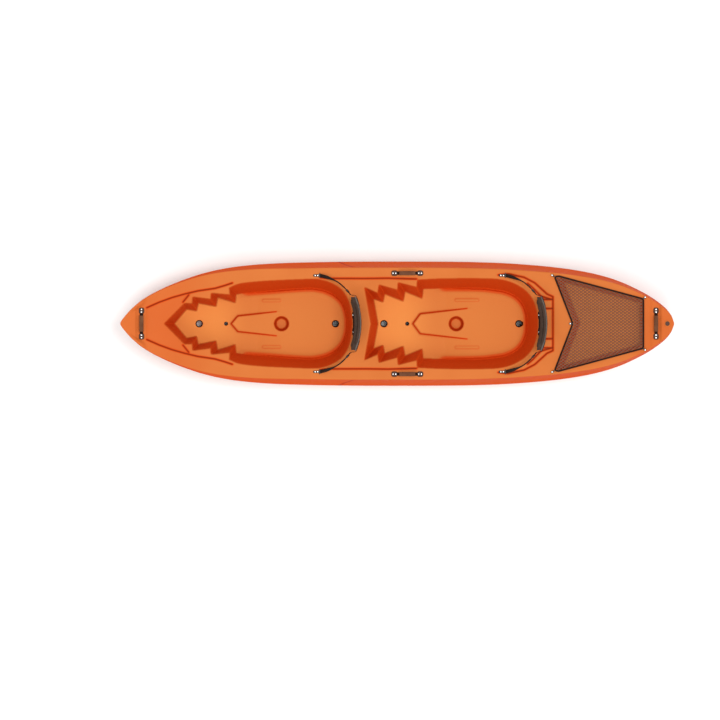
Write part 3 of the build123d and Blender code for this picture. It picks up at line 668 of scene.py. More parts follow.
def hull_mesh():
    heights, tones = deck_map()
    span = 4.6
    ends = np.array([0, 1.2, 2.8, 4.8, 7.2, 10.0, 13.2, 16.8])
    xs = np.concatenate([-1796 + ends, np.arange(-1796 + 20.5, 1796 - 20.4, span), (1796 - ends)[::-1]])
    sx = [s[0] for s in STATIONS]
    beams = np.array([s[1] for s in STATIONS], float)
    zk = smooth_curve(sx, [s[2] for s in STATIONS], xs)
    zc = smooth_curve(sx, [s[3] for s in STATIONS], xs)
    zu = smooth_curve(sx, [s[4] for s in STATIONS], xs)
    # the upper crease drops a little beside the front seat back
    zu += 6.0 * smoothstep(-560, -392, xs) * (1 - smoothstep(-388, -342, xs))
    zu -= 5.0 * smoothstep(-388, -342, xs) * (1 - smoothstep(-300, 60, xs))
    beam = smooth_curve(sx, beams, xs)
    yk = smooth_curve(sx, np.minimum(table(KEEL, sx), beams * 0.45), xs)
    yc = smooth_curve(sx, beams * table(CHINE, sx), xs)
    yg = beam - table(TUMBLE, xs) * np.minimum(1, beam / 60)
    zg = sample(heights, xs, yg * 0.995)
    nd, nu, nm, nb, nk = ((212, 22, 20, 22, 18))
    rings, tone_rings = [], []
    t_deck = np.linspace(-1, 1, nd + 1)
    # a few rows close to the gunwale so that its edge stays crisp and evenly rounded
    t_deck = np.sign(t_deck) * (1 - (1 - np.abs(t_deck)) * (0.93 + 0.07 * (1 - np.abs(t_deck))))
    for i, x in enumerate(xs):
        y = t_deck * yg[i]
        xx = np.full(y.shape, x)
        deck = np.stack([xx, y, sample(heights, xx, y)], 1)
        def run(a, b, n):
            t = (np.arange(1, n + 1) / n)[:, None]
            return np.array([[x, *a]]) + t * (np.array([[x, *b]]) - np.array([[x, *a]]))
        g, c, k, u = (yg[i], deck[-1, 2]), (yc[i], zc[i]), (yk[i], zk[i]), (beam[i], zu[i])
        side = np.vstack([run(g, u, nu), run(u, c, nm), run(c, k, nb)])
        plank = run(k, (-yk[i], zk[i]), nk)
        other = side[::-1] * [1, -1, 1]
        ring = np.vstack([deck, side, plank[:-1], other])
        rings.append(ring)
        tn = np.zeros(len(ring))
        tn[:len(deck)] = sample(tones, xx, y)
        # painted shade on the panel under the gunwale, darker still along the diagonal step where its strip begins
        rows = (np.arange(nu) + 1) / nu
        step = 0.76 + 1.0 * np.exp(-(((x + (rows - 0.1) * 120 + 277) / 9.0) ** 2)) * smoothstep(0.08, 0.2, rows)
        tn[len(deck):len(deck) + nu] = step
        tn[len(ring) - nu:] = step[::-1]
        # painted shade: the facet under the chine and both ends are painted a little darker
        low = np.interp(x, [-1796, -1605, -1410, -1150, -700, 0, 1000, 1180, 1446, 1796], [330, 250, 180, 112, 72, 52, 62, 110, 330, 400])
        belly = 0.46 * (1 - smoothstep(low - 42, low + 34, ring[:, 2]))
        outer = np.zeros(len(ring), bool)
        outer[len(deck) + nu:len(ring) - nu] = True
        tn = np.where(outer, belly, tn)
        tone_rings.append(tn)
    P = np.array(rings)                      # columns x ring x 3
    T = np.array(tone_rings)
    n_deck = nd + 1
    # details of the sides: panel set in under the gunwale, skeg at the stern
    ring_n = P.shape[1]
    idx = np.arange(ring_n)
    sides = [np.arange(n_deck, n_deck + nu + nm + nb), np.arange(ring_n - 1, ring_n - 1 - (nu + nm + nb), -1)]
    for side, sign in zip(sides, (1, -1)):
        S = P[:, side]
        z, x = S[..., 2], S[..., 0]
        upper = (np.arange(len(side)) < nu)[None, :]
        share = (np.arange(len(side)) + 1)[None, :] / nu
        fade = smoothstep(-1500, -1250, x) * (1 - smoothstep(1330, 1500, x))
        inset_ = 5.0 * smoothstep(0.10, 0.20, share) * (1 - smoothstep(0.93, 0.995, share)) * upper * fade
        # diagonal step where the gunwale strip begins, beside the front seat back
        strip = smoothstep(-300, -255, x + (share - 0.1) * 120)
        inset_ = inset_ * (0.45 + 0.55 * strip)
        line = np.interp(x, [1470, 1513, 1620, 1700], [20, 92, 116, 118])
        skeg = 9.0 * smoothstep(1470, 1500, x) * (1 - smoothstep(1640, 1735, x)) * (1 - smoothstep(line - 10, line + 4, z))
        skeg = skeg * smoothstep(24, 46, np.abs(S[..., 1]))
        S[..., 1] -= sign * (inset_ + skeg)
        P[:, side] = S
    # rounding of gunwale, crease, chine and keel edges by averaging round the ring
    corners = [n_deck - 1, n_deck + nu - 1, n_deck + nu + nm - 1, n_deck + nu + nm + nb - 1]
    corners += [ring_n - 1 - (c - n_deck) - 1 for c in corners[1:]] + [0]
    weight = np.zeros(ring_n)
    for c, reach in zip(corners, (3.2, 1.2, 2.4, 2.6, 2.6, 2.4, 1.2, 3.2)):
        off = np.minimum(np.abs(idx - c), ring_n - np.abs(idx - c))
        weight = np.maximum(weight, np.exp(-((off / reach) ** 2)))
    for _ in range(7):
        mean = (np.roll(P, 1, 1) + np.roll(P, -1, 1)) / 2
        P[..., 1:] += 0.5 * weight[None, :, None] * (mean - P)[..., 1:]
    # fair along the hull, away from the deck's own features
    for _ in range(3):
        fair = P.copy()
        fair[1:-1, n_deck:] = (P[:-2, n_deck:] + P[2:, n_deck:]) / 2
        P[1:-1, n_deck:, 1:] += 0.5 * (fair[1:-1, n_deck:, 1:] - P[1:-1, n_deck:, 1:])
    # the rounding is made good at the crease, so that the full beam is kept
    for side, sign in zip(sides, (1, -1)):
        S = P[:, side]
        near = np.exp(-(((np.arange(len(side)) + 1 - nu) / 5.0) ** 2))[None, :]
        lack = np.clip(beam - (sign * S[..., 1]).max(1), 0, 9)[:, None]
        S[..., 1] += sign * near * lack
        P[:, side] = S
    # blunt rounded tips
    for end, near in ((0, range(0, 7)), (len(xs) - 1, range(len(xs) - 1, len(xs) - 8, -1))):
        for i in near:
            depth = abs(P[i, 0, 0] - P[end, 0, 0]) + 0.8
            squeeze = min(1.0, math.sqrt(max(0.0, 1 - (1 - min(depth, 10) / 10) ** 2)))
            P[i, :, 1] *= 0.30 + 0.70 * squeeze
            mid = P[i, :, 2].mean()
            P[i, :, 2] = mid + (P[i, :, 2] - mid) * (0.93 + 0.07 * squeeze)
    P[..., 2] = np.maximum(P[..., 2], 0.0)
    n_col = len(P)
    verts = P.reshape(-1, 3) / 1000.0
    col, row = np.meshgrid(np.arange(n_col - 1), np.arange(ring_n), indexing="ij")
    a = col * ring_n + row
    b = col * ring_n + (row + 1) % ring_n
    faces = np.stack([a, b, b + ring_n, a + ring_n], -1).reshape(-1, 4)
    # ends: each tip is closed by faces that join the ring's two halves
    faces = faces.tolist()
    vlist = verts.tolist()
    tlist = T.reshape(-1).tolist()
    for i, flip in ((0, True), (n_col - 1, False)):
        base = i * ring_n
        m = n_deck // 2
        zt = P[i, :, 2]
        # zip the tip: pair each starboard vertex with its port twin
        right = [base + k for k in range(m, ring_n) if k <= ring_n][: (ring_n) // 2 + 1]
        order = [(base + (m + k) % ring_n, base + (m - k) % ring_n) for k in range(0, ring_n // 2 + 1)]
        for (r0, l0), (r1, l1) in zip(order[:-1], order[1:]):
            quad = [v for n, v in enumerate([r0, r1, l1, l0]) if v not in [r0, r1, l1, l0][:n]]
            if len(quad) >= 3:
                faces.append(quad if flip else quad[::-1])
    ob = new_object("hull_shell", vlist, faces)
    attr = ob.data.attributes.new("tone", "FLOAT", "POINT")
    attr.data.foreach_set("value", np.array(tlist, dtype=np.float32))
    bm = bmesh.new()
    bm.from_mesh(ob.data)
    bmesh.ops.recalc_face_normals(bm, faces=bm.faces)
    if bm.calc_volume(signed=True) < 0:
        bmesh.ops.reverse_faces(bm, faces=bm.faces)
    bad = sum(1 for e in bm.edges if len(e.link_faces) != 2)
    print("hull faces", len(bm.faces), "open or odd edges", bad, "volume", bm.calc_volume())
    bm.to_mesh(ob.data)
    bm.free()
    return ob


def bore_tool(name, profile, x, sides=64):
    """Solid of revolution about a vertical axis, from (radius, height) pairs in millimetres."""
    verts, faces = [], []
    for r, z in profile:
        verts += [((x + r * math.cos(t)) / 1000, r * math.sin(t) / 1000, z / 1000)
                  for t in (2 * math.pi * k / sides for k in range(sides))]
    rows = len(profile)
    for i in range(rows - 1):
        for k in range(sides):
            a, b = i * sides + k, i * sides + (k + 1) % sides
            faces.append((a, b, b + sides, a + sides))
    faces.append(tuple(reversed(range(sides))))
    faces.append(tuple(range((rows - 1) * sides, rows * sides)))
    ob = new_object(name, verts, faces)
    # painted shade: the bore walls this tool cuts take the darkest value, a dark brown
    attr = ob.data.attributes.new("tone", "FLOAT", "POINT")
    attr.data.foreach_set("value", np.full(len(verts), 2.9, dtype=np.float32))
    return ob


hull = hull_mesh()
tools = []
for i, x in enumerate(SCUPPERS):
    top = FOOT if x in (SCUPPERS[0], SCUPPERS[2]) else SEAT
    tools.append(bore_tool(f"bore_{i}", [(27.0, -4.0), (24.8, 0.4), (22.6, 4.0), (21.5, 9.0), (17.2, 42.0), (17.2, top - 52.0),
                                         (22.0, top - 9.0), (23.2, top - 4.2), (25.2, top + 0.6), (30.0, top + 6.0)], x))
for i, x in enumerate(SMALL_SCUPPERS):
    tools.append(bore_tool(f"small_bore_{i}", [(15.0, -3.5), (13.2, 0.6), (12.0, 4.0), (12.0, FOOT - 5.0),
                                               (12.8, FOOT - 2.0), (15.5, FOOT + 4.0)], x, 48))
tools.append(bore_tool("drain_bore", [(15.1, 305.0), (15.1, 345.0)], DRAIN_X, 48))
for tool in tools:
    mod = hull.modifiers.new("bore", "BOOLEAN")
    mod.operation = "DIFFERENCE"
    mod.solver = "MANIFOLD"
    mod.object = tool
apply_modifiers(hull)
for tool in tools:
    mesh = tool.data
    bpy.data.objects.remove(tool)
    bpy.data.meshes.remove(mesh)
finish_mesh(hull, M_HULL, "hull")
try:
    hull.data.set_sharp_from_angle(angle=math.radians(48))
except Exception as problem:
    print("sharp edges not set:", problem)
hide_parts("hull")

# ---------------------------------------------------------------------------
# Shared shapes
# ---------------------------------------------------------------------------
def unit(v):
    return v / np.maximum(np.linalg.norm(v, axis=-1, keepdims=True), 1e-12)


def resample(points, step):
    """Evenly spaced points, and their share of the length, along a polyline."""
    p = np.asarray(points, float)
    s = np.concatenate([[0], np.cumsum(np.linalg.norm(np.diff(p, axis=0), axis=1))])
    n = max(2, int(round(s[-1] / step)) + 1)
    at = np.linspace(0, s[-1], n)
    return np.stack([np.interp(at, s, p[:, k]) for k in range(3)], 1), at / s[-1]


def ribbon(name, centre, across, width, thick, columns=6):
    """Flat strap: centre points, unit vectors across it, widths and thicknesses in metres. Closed."""
    c, w = np.asarray(centre, float), unit(np.asarray(across, float))
    n = len(c)
    t = unit(np.gradient(c, axis=0))
    w = unit(w - (w * t).sum(1, keepdims=True) * t)
    up = np.cross(t, w)
    width = np.broadcast_to(width, n)
    thick = np.broadcast_to(thick, n)
    k = np.linspace(-1, 1, columns)
    soft = 1 - 0.55 * np.abs(k) ** 8          # selvedges are thinner
    loop = [(a, b) for a, b in zip(k, soft)] + [(a, -b) for a, b in zip(k[::-1], soft[::-1])]
    m = len(loop)
    verts = np.zeros((n, m, 3))
    for j, (a, b) in enumerate(loop):
        verts[:, j] = c + w * (a * width / 2)[:, None] + up * (b * thick / 2)[:, None]
    faces = []
    for i in range(n - 1):
        for j in range(m):
            a, b = i * m + j, i * m + (j + 1) % m
            faces.append((a, b, b + m, a + m))
    for i, flip in ((0, False), (n - 1, True)):
        for j in range(columns - 1):
            q = (i * m + j, i * m + m - 1 - j, i * m + m - 2 - j, i * m + j + 1)
            faces.append(q[::-1] if flip else q)
    return new_object(name, verts.reshape(-1, 3), faces)


def tube(points, radius, sides=10, closed=False, flat=1.0):
    """Verts and faces of a tube round a line."""
    p = np.asarray(points, float)
    n = len(p)
    t = unit(np.roll(p, -1, 0) - np.roll(p, 1, 0)) if closed else unit(np.gradient(p, axis=0))
    ref = np.array([0, 0, 1.0]) if abs(t[0, 2]) < 0.9 else np.array([1.0, 0, 0])
    side = unit(np.cross(t[0], ref))
    rings = []
    for i in range(n):
        side = unit(side - np.dot(side, t[i]) * t[i])
        up = np.cross(t[i], side)
        r = radius[i] if hasattr(radius, "__len__") else radius
        rings.append([p[i] + r * (math.cos(a) * side + flat * math.sin(a) * up)
                      for a in (2 * math.pi * k / sides for k in range(sides))])
    faces = []
    for i in range(n if closed else n - 1):
        j = (i + 1) % n
        for k in range(sides):
            l = (k + 1) % sides
            faces.append((i * sides + k, i * sides + l, j * sides + l, j * sides + k))
    if not closed:
        faces.append(tuple(reversed(range(sides))))
        faces.append(tuple(range((n - 1) * sides, n * sides)))
    return np.array(rings).reshape(-1, 3), faces


def joined(name, bits):
    verts, faces, base = [], [], 0
    for v, f in bits:
        verts += [tuple(p) for p in v]
        faces += [tuple(i + base for i in face) for face in f]
        base += len(v)
    return new_object(name, verts, faces)


def outward(ob):
    bm = bmesh.new()
    bm.from_mesh(ob.data)
    bmesh.ops.recalc_face_normals(bm, faces=bm.faces)
    if bm.calc_volume(signed=True) < 0:
        bmesh.ops.reverse_faces(bm, faces=bm.faces)
    bm.to_mesh(ob.data)
    bm.free()
    return ob


def mesh_points(ob):
    co = np.empty(len(ob.data.vertices) * 3)
    ob.data.vertices.foreach_get("co", co)
    return co.reshape(-1, 3)


def set_points(ob, co):
    ob.data.vertices.foreach_set("co", np.asarray(co, float).reshape(-1))
    ob.data.update()


def cad_copy(node, name):
    ob = bpy.data.objects.new(name, NODES[node].data.copy())
    scene.collection.objects.link(ob)
    return ob


def moved(ob, name, dx):
    """The same piece again, further aft, with its own mesh."""
    twin = bpy.data.objects.new(name, ob.data.copy())
    scene.collection.objects.link(twin)
    co = mesh_points(twin)
    co[:, 0] += dx
    set_points(twin, co)
    return twin


def stitches(bits, line, normal, pitch=0.0042, length=0.0028, thick=0.00042, lift=0.0002):
    """Short raised threads along a line; normal is the way they stand out."""
    p, _ = resample(line, pitch)
    for a, b in zip(p[:-1], p[1:]):
        d = unit(b - a)
        nrm = unit(np.asarray(normal, float))
        s, e = a + d * (pitch - length) / 2, b - d * (pitch - length) / 2
        mid = (s + e) / 2 + nrm * (lift + thick * 0.5)
        bits.append(tube([s + nrm * (lift - thick * 0.6), mid, e + nrm * (lift - thick * 0.6)], thick, 5))


# ---------------------------------------------------------------------------
# Seat backs: cloth-simulated pad, stiff panel with a bound edge, rolled lip
# ---------------------------------------------------------------------------
BACK_X = -0.693            # axis of the curve of the front seat back
OUTLINE = [(-60, 317), (-112, 336), (-150, 366), (-174, 398), (-172, 430), (-150, 452), (-108, 461),
           (108, 461), (150, 452), (172, 430), (174, 398), (150, 366), (112, 336), (60, 317)]


def outline_depth(y, z):
    """How far inside the outline of the seat back a point is, in millimetres."""
    best = np.full(y.shape, 1e3)
    pts = OUTLINE + [OUTLINE[0]]
    for (y0, z0), (y1, z1) in zip(pts[:-1], pts[1:]):
        uy, uz = y1 - y0, z1 - z0
        t = np.clip(((y - y0) * uy + (z - z0) * uz) / (uy * uy + uz * uz), 0, 1)
        best = np.minimum(best, np.hypot(y - y0 - t * uy, z - z0 - t * uz))
    return best


def wobble(a, b, seed):
    rng = np.random.RandomState(seed)
    out = np.zeros(a.shape)
    for _ in range(9):
        f, g, p = rng.uniform(18, 90), rng.uniform(18, 90), rng.uniform(0, 6.28)
        out += np.sin(a * f + b * g * rng.choice([-1, 1]) + p) / 9
    return out


def remeshed(ob, voxel):
    mod = ob.modifiers.new("remesh", "REMESH")
    mod.mode = "VOXEL"
    mod.voxel_size = voxel
    mod.use_smooth_shade = True
    return apply_modifiers(ob)


def smoothed(ob, times, factor=0.5):
    mod = ob.modifiers.new("smooth", "SMOOTH")
    mod.factor, mod.iterations = factor, times
    return apply_modifiers(ob)


def subdivided(ob, levels=1):
    mod = ob.modifiers.new("subdivision", "SUBSURF")
    mod.levels = mod.render_levels = levels
    return apply_modifiers(ob)


def vertex_normals(ob):
    n = np.empty(len(ob.data.vertices) * 3)
    ob.data.vertex_normals.foreach_get("vector", n)
    return n.reshape(-1, 3)


def inflated(ob, cap, pressure=4.0, frames=20):
    """Cloth with pressure and no gravity; its result is kept and no point moves more than the cap."""
    start = mesh_points(ob)
    mod = ob.modifiers.new("cloth", "CLOTH")
    s = mod.settings
    s.quality = 5
    s.mass = 0.3
    s.tension_stiffness = s.compression_stiffness = 12
    s.shear_stiffness = 6
    s.bending_stiffness = 1.2
    s.use_pressure = True
    s.uniform_pressure_force = pressure
    s.effector_weights.gravity = 0.0
    mod.collision_settings.use_collision = False
    mod.point_cache.frame_start, mod.point_cache.frame_end = 1, frames
    for f in range(1, frames + 1):
        scene.frame_set(f)
        bpy.context.view_layer.update()
    apply_modifiers(ob)
    scene.frame_set(1)
    now = mesh_points(ob)
    move = now - start
    far = np.linalg.norm(move, axis=1, keepdims=True)
    set_points(ob, start + move * np.minimum(1, cap / np.maximum(far, 1e-9)))
    return ob


def back_pad():
    pad = cad_copy("front_back_pad", "front_back_pad_cloth")
    remeshed(pad, 0.0055)
    smoothed(pad, 4)
    set_points(pad, mesh_points(pad) - vertex_normals(pad) * 0.0022)
    inflated(pad, 0.0075)
    subdivided(pad)
    co = mesh_points(pad)
    r = np.hypot(co[:, 0] - BACK_X, co[:, 1])
    y, z = co[:, 1] * 1000, co[:, 2] * 1000
    deep = outline_depth(y, z)
    front = smoothstep(0.441, 0.430, r) if False else np.clip((0.440 - r) / 0.010, 0, 1)
    groove = 3.4 * np.exp(-(((deep - 17) / 2.4) ** 2))
    ay = np.abs(y)
    inner = smoothstep(16, 21, deep)
    groove = np.maximum(groove, 4.0 * np.exp(-(((ay - 66 - 10 * (z - 390) / 70) / 2.8) ** 2)) * inner)
    # pulled stuffing between the seams, and short creases that run into them
    puff = 1.6 * np.cos(np.clip(y / 66, -1, 1) * math.pi / 2) * smoothstep(18, 34, deep)
    pucker = 0.55 * np.sin(y * 0.34) * np.exp(-(((deep - 17) / 7.5) ** 2)) + 0.5 * np.sin(z * 0.42) * np.exp(-(((ay - 66) / 8) ** 2))
    move = (groove - puff - pucker) * front + 1.1 * wobble(co[:, 1] * 1.3, co[:, 2], 3) * (0.4 + 0.6 * front)
    r_new = r + move / 1000
    r_new = np.minimum(r_new, 0.4506)
    r_new = np.maximum(r_new, 0.4135)
    k = (r_new / r)
    co[:, 0] = BACK_X + (co[:, 0] - BACK_X) * k
    co[:, 1] = co[:, 1] * k
    co[:, 2] = np.clip(co[:, 2], 0.3148, 0.4635)
    set_points(pad, co)
    return pad


def back_panel():
    panel = cad_copy("front_back_panel", "front_back_panel_shell")
    remeshed(panel, 0.0028)
    smoothed(panel, 5)
    co = mesh_points(panel)
    r = np.hypot(co[:, 0] - BACK_X, co[:, 1])
    y, z = co[:, 1] * 1000, co[:, 2] * 1000
    deep = outline_depth(y, z)
    rear = np.clip((r - 0.4565) / 0.002, 0, 1)
    # pressed ribs on the rear face
    rib = 1.5 * (np.exp(-(((np.abs(y) - 92) / 7) ** 2)) + np.exp(-((y / 9) ** 2))) * smoothstep(20, 34, deep)
    r_new = r + (rib - 0.9 * np.exp(-(((deep - 12) / 2.4) ** 2))) * rear / 1000
    k = r_new / r
    co[:, 0] = BACK_X + (co[:, 0] - BACK_X) * k
    co[:, 1] *= k
    set_points(panel, co)
    return panel


def on_back(y, z, r):
    y = np.asarray(y, float)
    return np.stack([BACK_X + np.sqrt(r * r - y * y), y, np.broadcast_to(z, y.shape)], -1)


def rounded_outline(grow=0.0):
    pts = np.array(OUTLINE, float)
    p = np.vstack([pts, pts[:1]])
    mid = (p[:-1] + p[1:]) / 2
    out = []
    for i in range(len(mid)):
        a, b, c = mid[i - 1], pts[i], mid[i]
        for t in np.arange(8) / 8:
            out.append((1 - t) ** 2 * a + 2 * t * (1 - t) * b + t * t * c)
    out = np.array(out)
    if grow:
        t = unit(np.roll(out, -1, 0) - np.roll(out, 1, 0))
        nrm = np.stack([-t[:, 1], t[:, 0]], 1)
        sign = np.sign(((out + nrm - out.mean(0)) ** 2).sum(1) - ((out - out.mean(0)) ** 2).sum(1))
        out = out + nrm * sign[:, None] * grow
    return out / 1000


def back_binding():
    """Tape bound round the edge where the pad meets the panel."""
    o = rounded_outline(-0.4)
    line = np.vstack([on_back(o[:, 0], o[:, 1], 0.4535)])
    ring, _ = resample(np.vstack([line, line[:1]]), 0.0045)
    v, f = tube(ring[:-1], 0.0044, 10, closed=True)
    return outward(joined("front_back_binding", [(v, f)]))


def back_lip():
    """Rolled top edge: stuffed fabric gathered at both ends."""
    ang = np.linspace(-17.4, 17.4, 90)
    a = np.radians(ang)
    line = np.stack([BACK_X + 0.444 * np.cos(a), 0.444 * np.sin(a), 0.4692 + 0 * a], 1)
    end = np.clip((17.4 - np.abs(ang)) / 2.2, 0, 1)
    r = 0.0073 * np.sqrt(np.clip(1 - (1 - end) ** 2, 0.02, 1))
    r = r * (1 + 0.045 * np.sin(ang * 3.1) + 0.035 * np.sin(ang * 7.3 + 1))
    v, f = tube(line, r, 20)
    c = np.repeat(line, 20, 0)
    k = np.tile(np.arange(20), 90)
    ring = np.repeat(np.arange(90), 20)
    v = c + (v - c) * (1 + 0.05 * np.sin(k * 0.9 + ring * 0.35))[:, None]
    # a narrow web of cloth ties the roll to the pad
    web_y = np.linspace(-0.126, 0.126, 60)
    web = ribbon("web", on_back(web_y, 0.4610, 0.444), np.tile([0, 0, 1.0], (60, 1)), 0.011, 0.0052)
    wv, wf = mesh_points(web), [tuple(p.vertices) for p in web.data.polygons]
    bpy.data.objects.remove(web)
    return outward(joined("front_back_lip_roll", [(v, f), (wv, wf)]))


def back_thread():
    """Stitching in one row along the binding, on the rear face, and round the strap patches."""
    bits = []
    o = rounded_outline(-7.0)
    for r, out in ((0.4606, 1.0),):
        line = on_back(o[:, 0], o[:, 1], r)
        line = np.vstack([line, line[:1]])
        p, _ = resample(line, 0.0046)
        for a, b in zip(p[:-1], p[1:]):
            nrm = unit(np.array([(a[0] + b[0]) / 2 - BACK_X, (a[1] + b[1]) / 2, 0.0])) * out
            s, e = a + (b - a) * 0.16, b - (b - a) * 0.16
            bits.append(tube([s - nrm * 0.0003, (s + e) / 2 + nrm * 0.0004, e - nrm * 0.0003], 0.00045, 5))
    for sign in (-1, 1):
        box_ = [(112, 399.5), (160, 399.5), (160, 414.5), (112, 414.5), (112, 399.5), (160, 414.5)]
        pts = []
        for (y0, z0), (y1, z1) in zip(box_[:-1], box_[1:]):
            for t in np.arange(12) / 12:
                pts.append((sign * (y0 + (y1 - y0) * t) / 1000, (z0 + (z1 - z0) * t) / 1000))
        pts = np.array(pts)
        line = on_back(pts[:, 0], pts[:, 1], 0.4632)
        p, _ = resample(line, 0.0040)
        for a, b in zip(p[:-1], p[1:]):
            nrm = unit(np.array([(a[0] + b[0]) / 2 - BACK_X, (a[1] + b[1]) / 2, 0.0]))
            s, e = a + (b - a) * 0.16, b - (b - a) * 0.16
            bits.append(tube([s - nrm * 0.0003, (s + e) / 2 + nrm * 0.0004, e - nrm * 0.0003], 0.00045, 5))
    return outward(joined("front_back_thread", bits))


def hinge_flap():
    """Cloth flap screwed to the deck and sewn to the foot of the seat back."""
    ys = np.linspace(-0.078, 0.078, 41)
    ay = np.abs(ys) * 1000
    front = -288.0 - 4.5 * smoothstep(24, 42, ay)
    round_ = np.clip((ay - 70) / 8, 0, 1)
    prof = [(0.0, 0.0, 309.3), (0.25, 0, 309.3), (0.5, 0, 309.3), (0.75, 0, 309.3), (1.0, 0, 309.4)]
    rows = []
    for s in np.linspace(0, 1, 9):
        x = front + (-262.0 - front) * s + 5.0 * round_ ** 2 * (1 - s)
        rows.append(np.stack([x, ys * 1000, np.full(ys.shape, 309.35)], 1))
    for s in np.linspace(0.12, 1, 8):
        a = s * math.radians(78)
        x = -262.0 + 9.0 * math.sin(a) + 1.5 * s
        z = 309.35 + 9.0 * (1 - math.cos(a)) + 2.0 * s
        rows.append(np.stack([np.full(ys.shape, x), ys * 1000 * (1 - 0.20 * s), np.full(ys.shape, z)], 1))
    rows = np.array(rows) / 1000
    n, m = rows.shape[:2]
    rows[..., 2] += 0.0004 * np.sin(rows[..., 1] * 160) * np.linspace(0, 1, n)[:, None]
    t = np.gradient(rows, axis=0)
    w = np.gradient(rows, axis=1)
    nrm = unit(np.cross(t, w))
    verts = np.concatenate([(rows + nrm * 0.0009).reshape(-1, 3), (rows - nrm * 0.0009).reshape(-1, 3)])
    faces, off = [], n * m
    for i in range(n - 1):
        for j in range(m - 1):
            a = i * m + j
            faces += [(a, a + 1, a + m + 1, a + m), (off + a, off + a + m, off + a + m + 1, off + a + 1)]
    rim = [j for j in range(m)] + [i * m + m - 1 for i in range(1, n)] + [(n - 1) * m + j for j in range(m - 2, -1, -1)] + [i * m for i in range(n - 2, 0, -1)]
    for a, b in zip(rim, rim[1:] + rim[:1]):
        faces.append((a, off + a, off + b, b))
    return outward(new_object("front_back_flap", verts, faces))


def side_strap(sign, name):
    """Webbing from the deck eye, flat at first, then turned on edge, round the wing and sewn behind it."""
    eye = np.array([[-503.6, 312.3, 308.3 + 4.6], [-500.6, 312.1, 308.3 + 6.0], [-495.0, 310.8, 317.2], [-486.0, 308.2, 323.2]])
    p0, p1, p2 = (np.array(p, float) for p in ((-496, 309, 321.5), (-392, 272, 365), (-303.5, 184.5, 407)))
    # circle through the three points
    a, b = p0 - p2, p1 - p2
    axb = np.cross(a, b)
    centre = p2 + np.cross(np.dot(a, a) * b - np.dot(b, b) * a, axb) / (2 * np.dot(axb, axb))
    nrm = unit(axb)
    e1 = unit(p0 - centre)
    e2 = np.cross(nrm, e1)
    rad = np.linalg.norm(p0 - centre)
    ang = lambda p: math.atan2(np.dot(p - centre, e2), np.dot(p - centre, e1))
    end = ang(p2)
    arc = np.array([centre + rad * (math.cos(t) * e1 + math.sin(t) * e2) for t in np.linspace(0, end, 40)])
    edge_up = nrm if nrm[2] > 0 else -nrm
    wrap = np.array([[-295.0, 183.6, 407.4], [-283.0, 184.2, 407.4], [-272.0, 182.6, 407.2], [-264.0, 175.0, 407.0],
                     [-258.6, 160.0, 407.0], [-252.6, 140.0, 407.0], [-246.9, 118.0, 407.0], [-245.3, 109.0, 407.0]])
    line = np.vstack([eye, arc[4:-1], wrap])
    line = through([tuple(p) for p in line[:4]], 4)[:-1].tolist() + line[4:-len(wrap)].tolist() + through([tuple(p) for p in line[-len(wrap) - 1:]], 4).tolist()
    pts, share = resample(line, 3.0)
    turn = (0.78 * smoothstep(0.0, 0.36, share) + 0.22 * smoothstep(0.50, 0.60, share))[:, None]
    last = smoothstep(0.74, 0.82, share)[:, None]
    across = np.array([0, -1.0, 0]) * (1 - turn) + edge_up * turn
    across = across * (1 - last) + np.array([0, 0, 1.0]) * last
    width = 20.5 + 1.5 * smoothstep(0.0, 0.1, 1 - share * 5)
    thick = np.full(len(pts), 3.0)
    # the wing end is doubled and sewn
    thick += 1.5 * smoothstep(0.60, 0.615, share) * (1 - smoothstep(0.70, 0.715, share))
    # a little slack between the ends
    sag = np.sin(np.clip(share / 0.72, 0, 1) * math.pi)
    pts = pts + np.stack([0 * sag, 0.8 * np.sin(share * 21), -1.2 * sag], 1)
    pts = pts * [1, sign, 1] / 1000
    across = across * [1, sign, 1]
    ob = ribbon(name, pts, across, width / 1000, thick / 1000, 8)
    return outward(ob), pts, across


pad, panel, binding, lip, thread, flap = back_pad(), back_panel(), back_binding(), back_lip(), back_thread(), hinge_flap()
for seat, dx in (("front", 0.0), ("rear", PITCH)):
    body = f"{seat}_back"
    for key, ob, mat, slot in (("pad", pad, M_CLOTH, "seat_fabric"), ("panel", panel, M_BACK, "seat_panel"),
                               ("binding", binding, M_BIND, "webbing"), ("lip", lip, M_CLOTH, "seat_fabric"),
                               ("thread", thread, M_BIND, "webbing")):
        piece = ob if seat == "front" else moved(ob, ob.name.replace("front", "rear"), dx)
        finish_mesh(piece, mat, body)
    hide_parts(f"{seat}_back_pad")
    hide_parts(f"{seat}_back_panel")
    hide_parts(f"{seat}_back_lip")
    piece = flap if seat == "front" else moved(flap, "rear_back_flap", dx)
    finish_mesh(piece, M_WEB, None)
    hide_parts(f"{seat}_back_hinge")
    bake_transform(piece)
    for side, sign in (("starboard", 1), ("port", -1)):
        strap, pts, across = side_strap(sign, f"{seat}_side_strap_{side}")
        co = mesh_points(strap)
        co[:, 0] += dx
        set_points(strap, co)
        finish_mesh(strap, M_WEB, None)
        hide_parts(f"{seat}_strap_{side}")
        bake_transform(strap)

